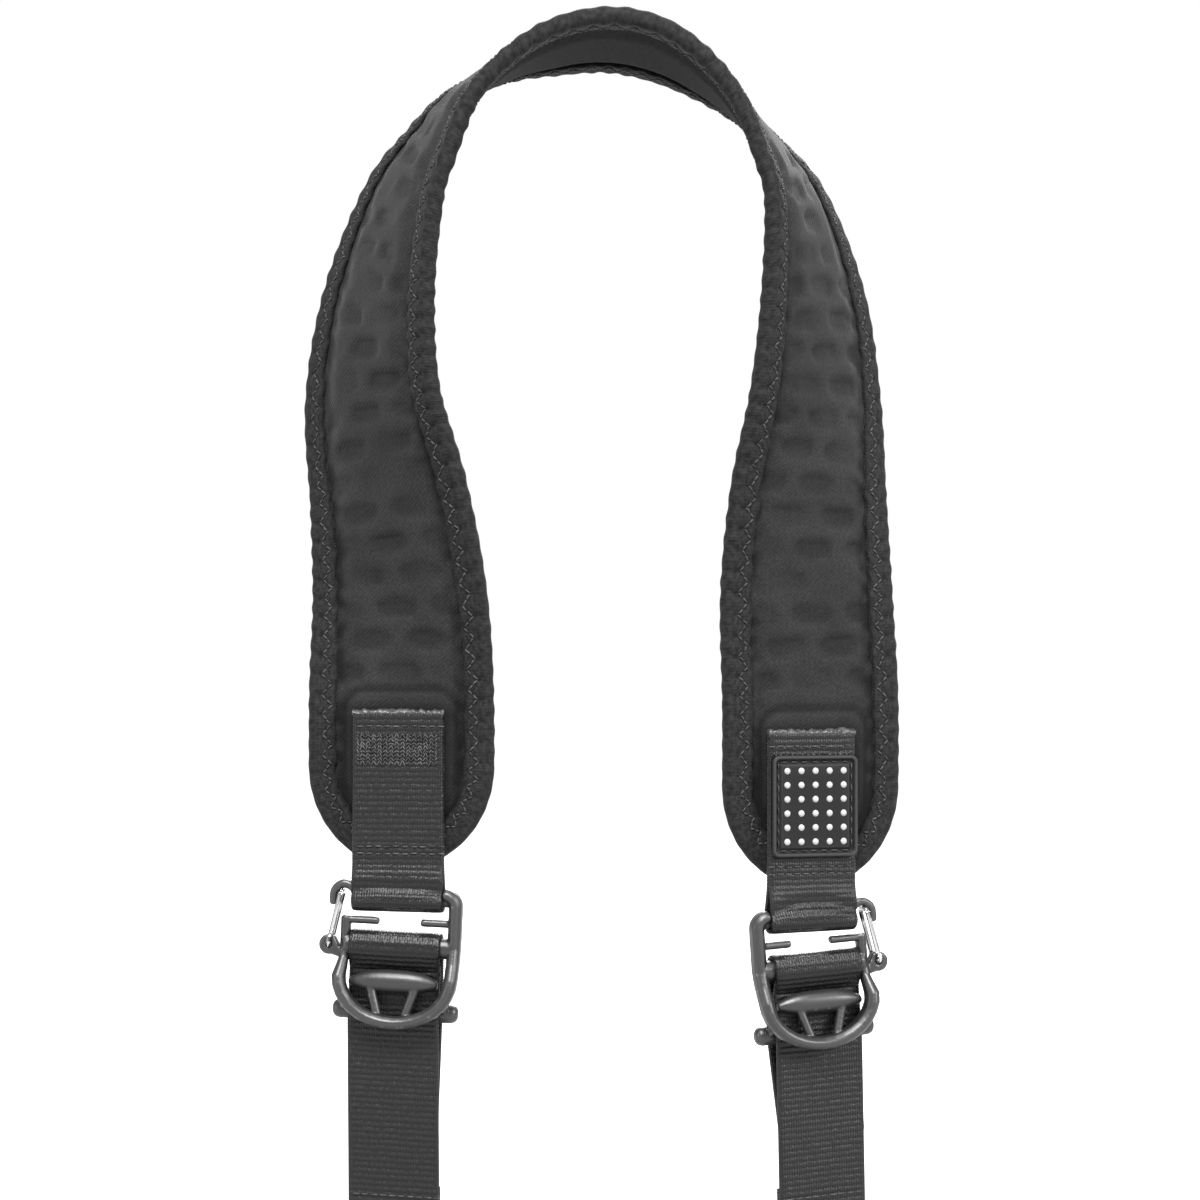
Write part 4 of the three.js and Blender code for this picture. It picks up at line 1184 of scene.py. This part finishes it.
class STRAP_OT_straps(bpy.types.Operator):
    """Adjustable straps through the buckles, down to their folded and stitched hems"""

    bl_idname = "strap.straps"
    bl_label = "Straps"

    SOFTEN = 0.4 * MM
    HEM_ROWS = (3.0, 9.0)

    def execute(self, context):
        web = context.scene.strap_webbing
        weaver = Weaver(web, bpy.data.materials["woven_nylon_webbing"])
        thread = bpy.data.materials["twisted_nylon_thread"]
        for seed, side in enumerate(SIDES):
            hanger = Hanger(side)
            end_v = (STRAP["end_z"] * MM - hanger.origin[2]) / math.cos(hanger.roll)
            self.make_band(weaver, hanger, side, end_v, seed)
            self.make_hem(hanger, side, end_v, web, thread)
        return {"FINISHED"}

    @staticmethod
    def lean(v, w, tuck):
        """Shift of the strap towards the middle, and of its tail in behind it."""
        below = np.maximum(STRAP["lean_v"] * MM - v, 0)
        return below * (STRAP["lean"] - tuck * smoothstep(w, *TAIL_BEHIND))

    def make_band(self, weaver, hanger, side, end_v, seed):
        t = {key: value * MM for key, value in STRAP.items()}
        loop = wrap_round((0, t["bar_v"]), t["loop_radius"], (t["rear_w"], t["rear_v"]),
                          (t["front_w"], t["leave_v"]), 1)
        fold = hanger.layer
        angle = np.linspace(np.pi, 2 * np.pi, 14)
        turn = np.stack([t["front_w"] + fold + fold * np.cos(angle), end_v + fold + fold * np.sin(angle)], 1)
        hem = (t["front_w"] + 2 * fold, end_v + t["hem"])
        path = np.vstack([(t["tail_w"], t["tail_v"]), loop, turn, hem])

        def lean(v, w):
            return self.lean(v, w, hanger.tuck)

        weaver.weave(f"strap_webbing_{side}", f"webbing_strap_{side}", f"buckle_frame_{side}", path,
                     hanger.on_buckle, self.SOFTEN, lean=lean, seed=seed + 5)

    def make_hem(self, hanger, side, end_v, web, thread):
        reach = web.half_width - SEAM_MARGIN
        starts, ends = [], []
        for row in self.HEM_ROWS:
            v = end_v + row * MM
            shift = self.lean(v, 0.0, 0.0)
            for u in np.arange(-reach, reach, STITCH_PITCH):
                starts.append((u + shift, v))
                ends.append((u + STITCH + shift, v))
        front = STRAP["front_w"] * MM - web.thickness / 2
        points, faces = stitches_on(hanger.on_buckle, np.array(starts), np.array(ends), front, WEB_THREAD)
        new_piece(f"hem_stitching_{side}", points, faces, [thread])


class STRAP_OT_patch(bpy.types.Operator):
    """Moulded rubber patch with a rim, a stitched groove and a plain field of raised dots"""

    bl_idname = "strap.patch"
    bl_label = "Patch"

    # From the outer edge inwards. The columns are the inset and the height in millimetres, and the
    # share of the lighter rim colour.
    PROFILE = (
        (0, 0, 0),
        (0, 1.1, 0),
        (0.12, 1.5, 0.3),
        (0.4, 1.75, 1),
        (0.7, 1.8, 1),
        (1, 1.7, 0.6),
        (1.2, 1.3, 0),
        (1.45, 0.95, 0),
        (2.2, 0.95, 0),
        (2.45, 1.25, 0.1),
        (2.75, 1.42, 0.45),
        (3.2, 1.45, 0.15),
        (6, 1.45, 0.05),
    )
    CORNER_STEPS = 10
    FIELD_MARGIN = 8.6 * MM
    DOT_HEIGHT, DOT_SUNK = 0.5 * MM, 0.05 * MM
    DOT_RINGS = 4
    DOT_SIDES = 14
    # The seam in the groove.
    GROOVE_INSET, GROOVE_HEIGHT = 1.85 * MM, 0.95 * MM
    SEAM_STITCH, SEAM_PITCH, SEAM_THREAD = 2.1 * MM, 3 * MM, 0.2 * MM

    def execute(self, context):
        patch = context.scene.strap_patch
        hanger = Hanger("right")
        web = context.scene.strap_webbing
        self.base = -hanger.layer - web.thickness / 2 - GAP
        self.make_moulding(hanger, patch)
        self.make_dots(hanger, patch)
        self.make_seam(hanger, patch)
        return {"FINISHED"}

    def corner_ring(self, patch, inset):
        """Rounded rectangle, inset from the patch's edge."""
        x, y = patch.width / 2 - inset, patch.height / 2 - inset
        radius = max(patch.corner - inset * 0.8, 0.4 * MM)
        angle = np.linspace(0, np.pi / 2, self.CORNER_STEPS)
        ring = []
        for quarter, (sx, sy) in enumerate(((1, 1), (-1, 1), (-1, -1), (1, -1))):
            turned = angle + quarter * np.pi / 2
            ring.append(np.stack([sx * (x - radius) + radius * np.cos(turned),
                                  sy * (y - radius) + radius * np.sin(turned)], 1))
        return np.concatenate(ring)

    def make_moulding(self, hanger, patch):
        rings, rub = [], []
        for inset, height, rubbed in self.PROFILE:
            ring = self.corner_ring(patch, inset * MM)
            w = np.full(len(ring), self.base - height * MM)
            rings.append(np.stack([ring[:, 0], w, ring[:, 1] + patch.middle], 1))
            rub.append(np.full(len(ring), rubbed))
        count = len(rings[0])
        faces = ring_faces(len(rings), count)
        faces.append(tuple(range(count)))
        faces.append(tuple((len(rings) - 1) * count + k for k in range(count)))
        piece = new_piece("patch_moulding", hanger.on_tab(np.array(rings)), faces,
                          [moulded_rubber(patch)], ["label_patch"])
        set_share(piece, "rubbed", np.concatenate(rub))
        face_outwards(piece)

    def make_dots(self, hanger, patch):
        field = (patch.width - self.FIELD_MARGIN, patch.height - self.FIELD_MARGIN)
        us = np.linspace(-field[0] / 2, field[0] / 2, patch.columns)
        vs = np.linspace(-field[1] / 2, field[1] / 2, patch.rows)
        angle = 2 * np.pi * np.arange(self.DOT_SIDES) / self.DOT_SIDES
        slope = np.linspace(0, 0.46 * np.pi, self.DOT_RINGS)
        radius = patch.dot * np.cos(slope)[:, None]
        height = self.DOT_HEIGHT * np.sin(slope)[:, None]
        top = self.base - self.PROFILE[-1][1] * MM
        points, faces = [], []
        for u in us:
            for v in vs:
                first = len(points) * self.DOT_RINGS * self.DOT_SIDES
                dome = np.broadcast_arrays(u + radius * np.cos(angle), top + self.DOT_SUNK - height,
                                           patch.middle + v + radius * np.sin(angle))
                points.append(np.stack(dome, -1))
                faces += ring_faces(self.DOT_RINGS, self.DOT_SIDES, first=first)
                faces.append(tuple(first + k for k in reversed(range(self.DOT_SIDES))))
                last = first + (self.DOT_RINGS - 1) * self.DOT_SIDES
                faces.append(tuple(last + k for k in range(self.DOT_SIDES)))
        piece = new_piece("patch_dots", hanger.on_tab(np.array(points)), faces,
                          [dot_paint(patch)])
        face_outwards(piece)

    def make_seam(self, hanger, patch):
        """Stitches that lie in the groove."""
        x, y = patch.width / 2 - self.GROOVE_INSET, patch.height / 2 - self.GROOVE_INSET
        starts, ends = [], []
        for along, across, is_upright in ((x, y, False), (y, x, True)):
            for sign in (-1, 1):
                for start in np.arange(-along + 0.9 * MM, along - 2 * MM, self.SEAM_PITCH):
                    line = [(start, sign * across), (start + self.SEAM_STITCH, sign * across)]
                    line = [p[::-1] for p in line] if is_upright else line
                    starts.append((line[0][0], line[0][1] + patch.middle))
                    ends.append((line[1][0], line[1][1] + patch.middle))
        groove = self.base - self.GROOVE_HEIGHT
        starts, ends = np.array(starts), np.array(ends)
        points, faces = stitches_on(hanger.on_tab, starts, ends, groove, self.SEAM_THREAD)
        thread = bpy.data.materials["twisted_polyester_thread"]
        new_piece("patch_seam", points, faces, [thread])


def solid_copy(node):
    """Welded copy of a solid's mesh."""
    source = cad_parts[node].data
    count = len(source.vertices)
    points = np.zeros(3 * count)
    source.vertices.foreach_get("co", points)
    unique, index = np.unique(np.round(points.reshape(-1, 3), 7), axis=0, return_inverse=True)
    index = index.ravel()
    faces = [tuple(int(index[k]) for k in face.vertices) for face in source.polygons]
    return unique, [face for face in faces if len(set(face)) == 3]


def apply_modifiers(piece):
    """Keeps the shape that the piece's modifiers give it."""
    depsgraph = bpy.context.evaluated_depsgraph_get()
    shaped = bpy.data.meshes.new_from_object(piece.evaluated_get(depsgraph))
    shaped.name = piece.name
    piece.modifiers.clear()
    piece.data = shaped
    shaped.shade_smooth()


class STRAP_OT_buckles(bpy.types.Operator):
    """Cast buckles with the soft fillets and rounded edges of die casting"""

    bl_idname = "strap.buckles"
    bl_label = "Buckles"

    SMOOTHING = 9
    PLATING = 0.32 * MM

    def execute(self, context):
        buckle = context.scene.strap_buckle
        casting = plated_zinc(buckle)
        for side in SIDES:
            node = f"buckle_frame_{side}"
            points, faces = solid_copy(node)
            piece = new_piece(f"buckle_casting_{side}", points, faces, [casting], [node])
            skin = piece.modifiers.new("skin", "REMESH")
            skin.mode = "VOXEL"
            skin.voxel_size = buckle.grain
            soft = piece.modifiers.new("fillets", "SMOOTH")
            soft.factor = 0.5
            soft.iterations = self.SMOOTHING
            plating = piece.modifiers.new("plating", "DISPLACE")
            plating.strength = self.PLATING
            plating.mid_level = 0.0
            apply_modifiers(piece)
        return {"FINISHED"}


class STRAP_OT_gates(bpy.types.Operator):
    """Sprung wire gates, each on a body of its own"""

    bl_idname = "strap.gates"
    bl_label = "Gates"

    def execute(self, context):
        wire = spring_wire(context.scene.strap_buckle)
        for side in SIDES:
            node = f"wire_gate_{side}"
            points, faces = solid_copy(node)
            piece = new_piece(f"gate_loop_{side}", points, faces, [wire], [node])
            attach(piece, f"gate_{side}")
            round_wire = piece.modifiers.new("round", "SUBSURF")
            round_wire.levels = round_wire.render_levels = 2
            apply_modifiers(piece)
        return {"FINISHED"}


class STRAP_OT_stage(bpy.types.Operator):
    """Pale floor, soft studio light and the camera"""

    bl_idname = "strap.stage"
    bl_label = "Stage"

    SENSOR = 36.0
    FLOOR_DROP = 20 * MM
    FLOOR_RADIUS = 8.0
    FLOOR_SIDES = 64
    # A white glow keeps the floor as pale as the background.
    FLOOR_GLOW = 0.72
    # Place in metres, size in metres, power in watts.
    LIGHTS = {
        "top_front": ((-0.15, -1.1, 1.4), 0.8, 125),
        "right_front": ((1.5, -0.9, 0.6), 0.6, 50),
        "left_front": ((-1.7, -0.7, 0.1), 0.7, 12),
        "back": ((0.3, 1.6, 1.0), 1.2, 70),
    }
    AIM = (0, 0, -0.15)

    def execute(self, context):
        stage = context.scene.strap_stage
        self.make_camera(context.scene, stage)
        self.make_floor(context.scene, stage)
        self.make_lights(context.scene)
        context.scene.view_settings.view_transform = "Standard"
        return {"FINISHED"}

    def make_camera(self, scene, stage):
        data = bpy.data.cameras.new("camera")
        data.sensor_width = self.SENSOR
        data.lens = self.SENSOR * stage.distance / stage.across
        camera = bpy.data.objects.new("camera", data)
        camera.location = (stage.offset, -stage.distance, stage.height)
        camera.rotation_euler = (math.pi / 2, 0, 0)
        scene.collection.objects.link(camera)
        scene.camera = camera

    def make_floor(self, scene, stage):
        """Disc of pale paper well below the straps."""
        height = CAD_BOX[0].z - self.FLOOR_DROP
        angle = 2 * np.pi * np.arange(self.FLOOR_SIDES) / self.FLOOR_SIDES
        rim = [(self.FLOOR_RADIUS * math.cos(a), self.FLOOR_RADIUS * math.sin(a), height) for a in angle]
        mesh = bpy.data.meshes.new("floor")
        mesh.from_pydata(rim, [], [tuple(range(len(rim)))])
        material, _, _ = new_material("pale_paper", {
            "Base Color": opaque(stage.floor),
            "Roughness": 0.9,
            "Emission Color": opaque((1, 1, 1)),
            "Emission Strength": self.FLOOR_GLOW,
        })
        mesh.materials.append(material)
        floor = bpy.data.objects.new("floor", mesh)
        scene.collection.objects.link(floor)

    def make_lights(self, scene):
        world = bpy.data.worlds.new("studio")
        world.use_nodes = True
        world.node_tree.nodes["Background"].inputs["Color"].default_value = (1, 1, 1, 1)
        world.node_tree.nodes["Background"].inputs["Strength"].default_value = 1.0
        scene.world = world
        for name, (place, size, power) in self.LIGHTS.items():
            data = bpy.data.lights.new(name, "AREA")
            data.shape = "DISK"
            data.size = size
            data.energy = power
            light = bpy.data.objects.new(name, data)
            light.location = place
            light.rotation_euler = (Vector(self.AIM) - Vector(place)).to_track_quat("-Z", "Y").to_euler()
            scene.collection.objects.link(light)


OPERATORS = (
    STRAP_OT_stage,
    STRAP_OT_pad,
    STRAP_OT_binding,
    STRAP_OT_tabs,
    STRAP_OT_straps,
    STRAP_OT_patch,
    STRAP_OT_buckles,
    STRAP_OT_gates,
)

SETTINGS = {
    "strap_pad": PadSettings,
    "strap_tape": TapeSettings,
    "strap_webbing": WebbingSettings,
    "strap_patch": PatchSettings,
    "strap_buckle": BuckleSettings,
    "strap_stage": StageSettings,
}


class STRAP_PT_panel(bpy.types.Panel):
    """Pieces of the strap"""

    bl_idname = "STRAP_PT_panel"
    bl_label = "Binocular strap"
    bl_space_type = "VIEW_3D"
    bl_region_type = "UI"
    bl_category = "Strap"

    def draw(self, context):
        for operator in OPERATORS:
            self.layout.operator(operator.bl_idname)
        for name, group in SETTINGS.items():
            box = self.layout.box()
            box.label(text=group.__doc__)
            for key in group.__annotations__:
                box.prop(getattr(context.scene, name), key)


CLASSES = (*SETTINGS.values(), *OPERATORS, STRAP_PT_panel)


def register():
    for cls in CLASSES:
        bpy.utils.register_class(cls)
    for name, group in SETTINGS.items():
        setattr(bpy.types.Scene, name, PointerProperty(type=group))


def unregister():
    for name in SETTINGS:
        delattr(bpy.types.Scene, name)
    for cls in reversed(CLASSES):
        bpy.utils.unregister_class(cls)


def main():
    register()
    for operator in OPERATORS:
        group, name = operator.bl_idname.split(".")
        getattr(getattr(bpy.ops, group), name)()


if __name__ == "__main__":
    main()
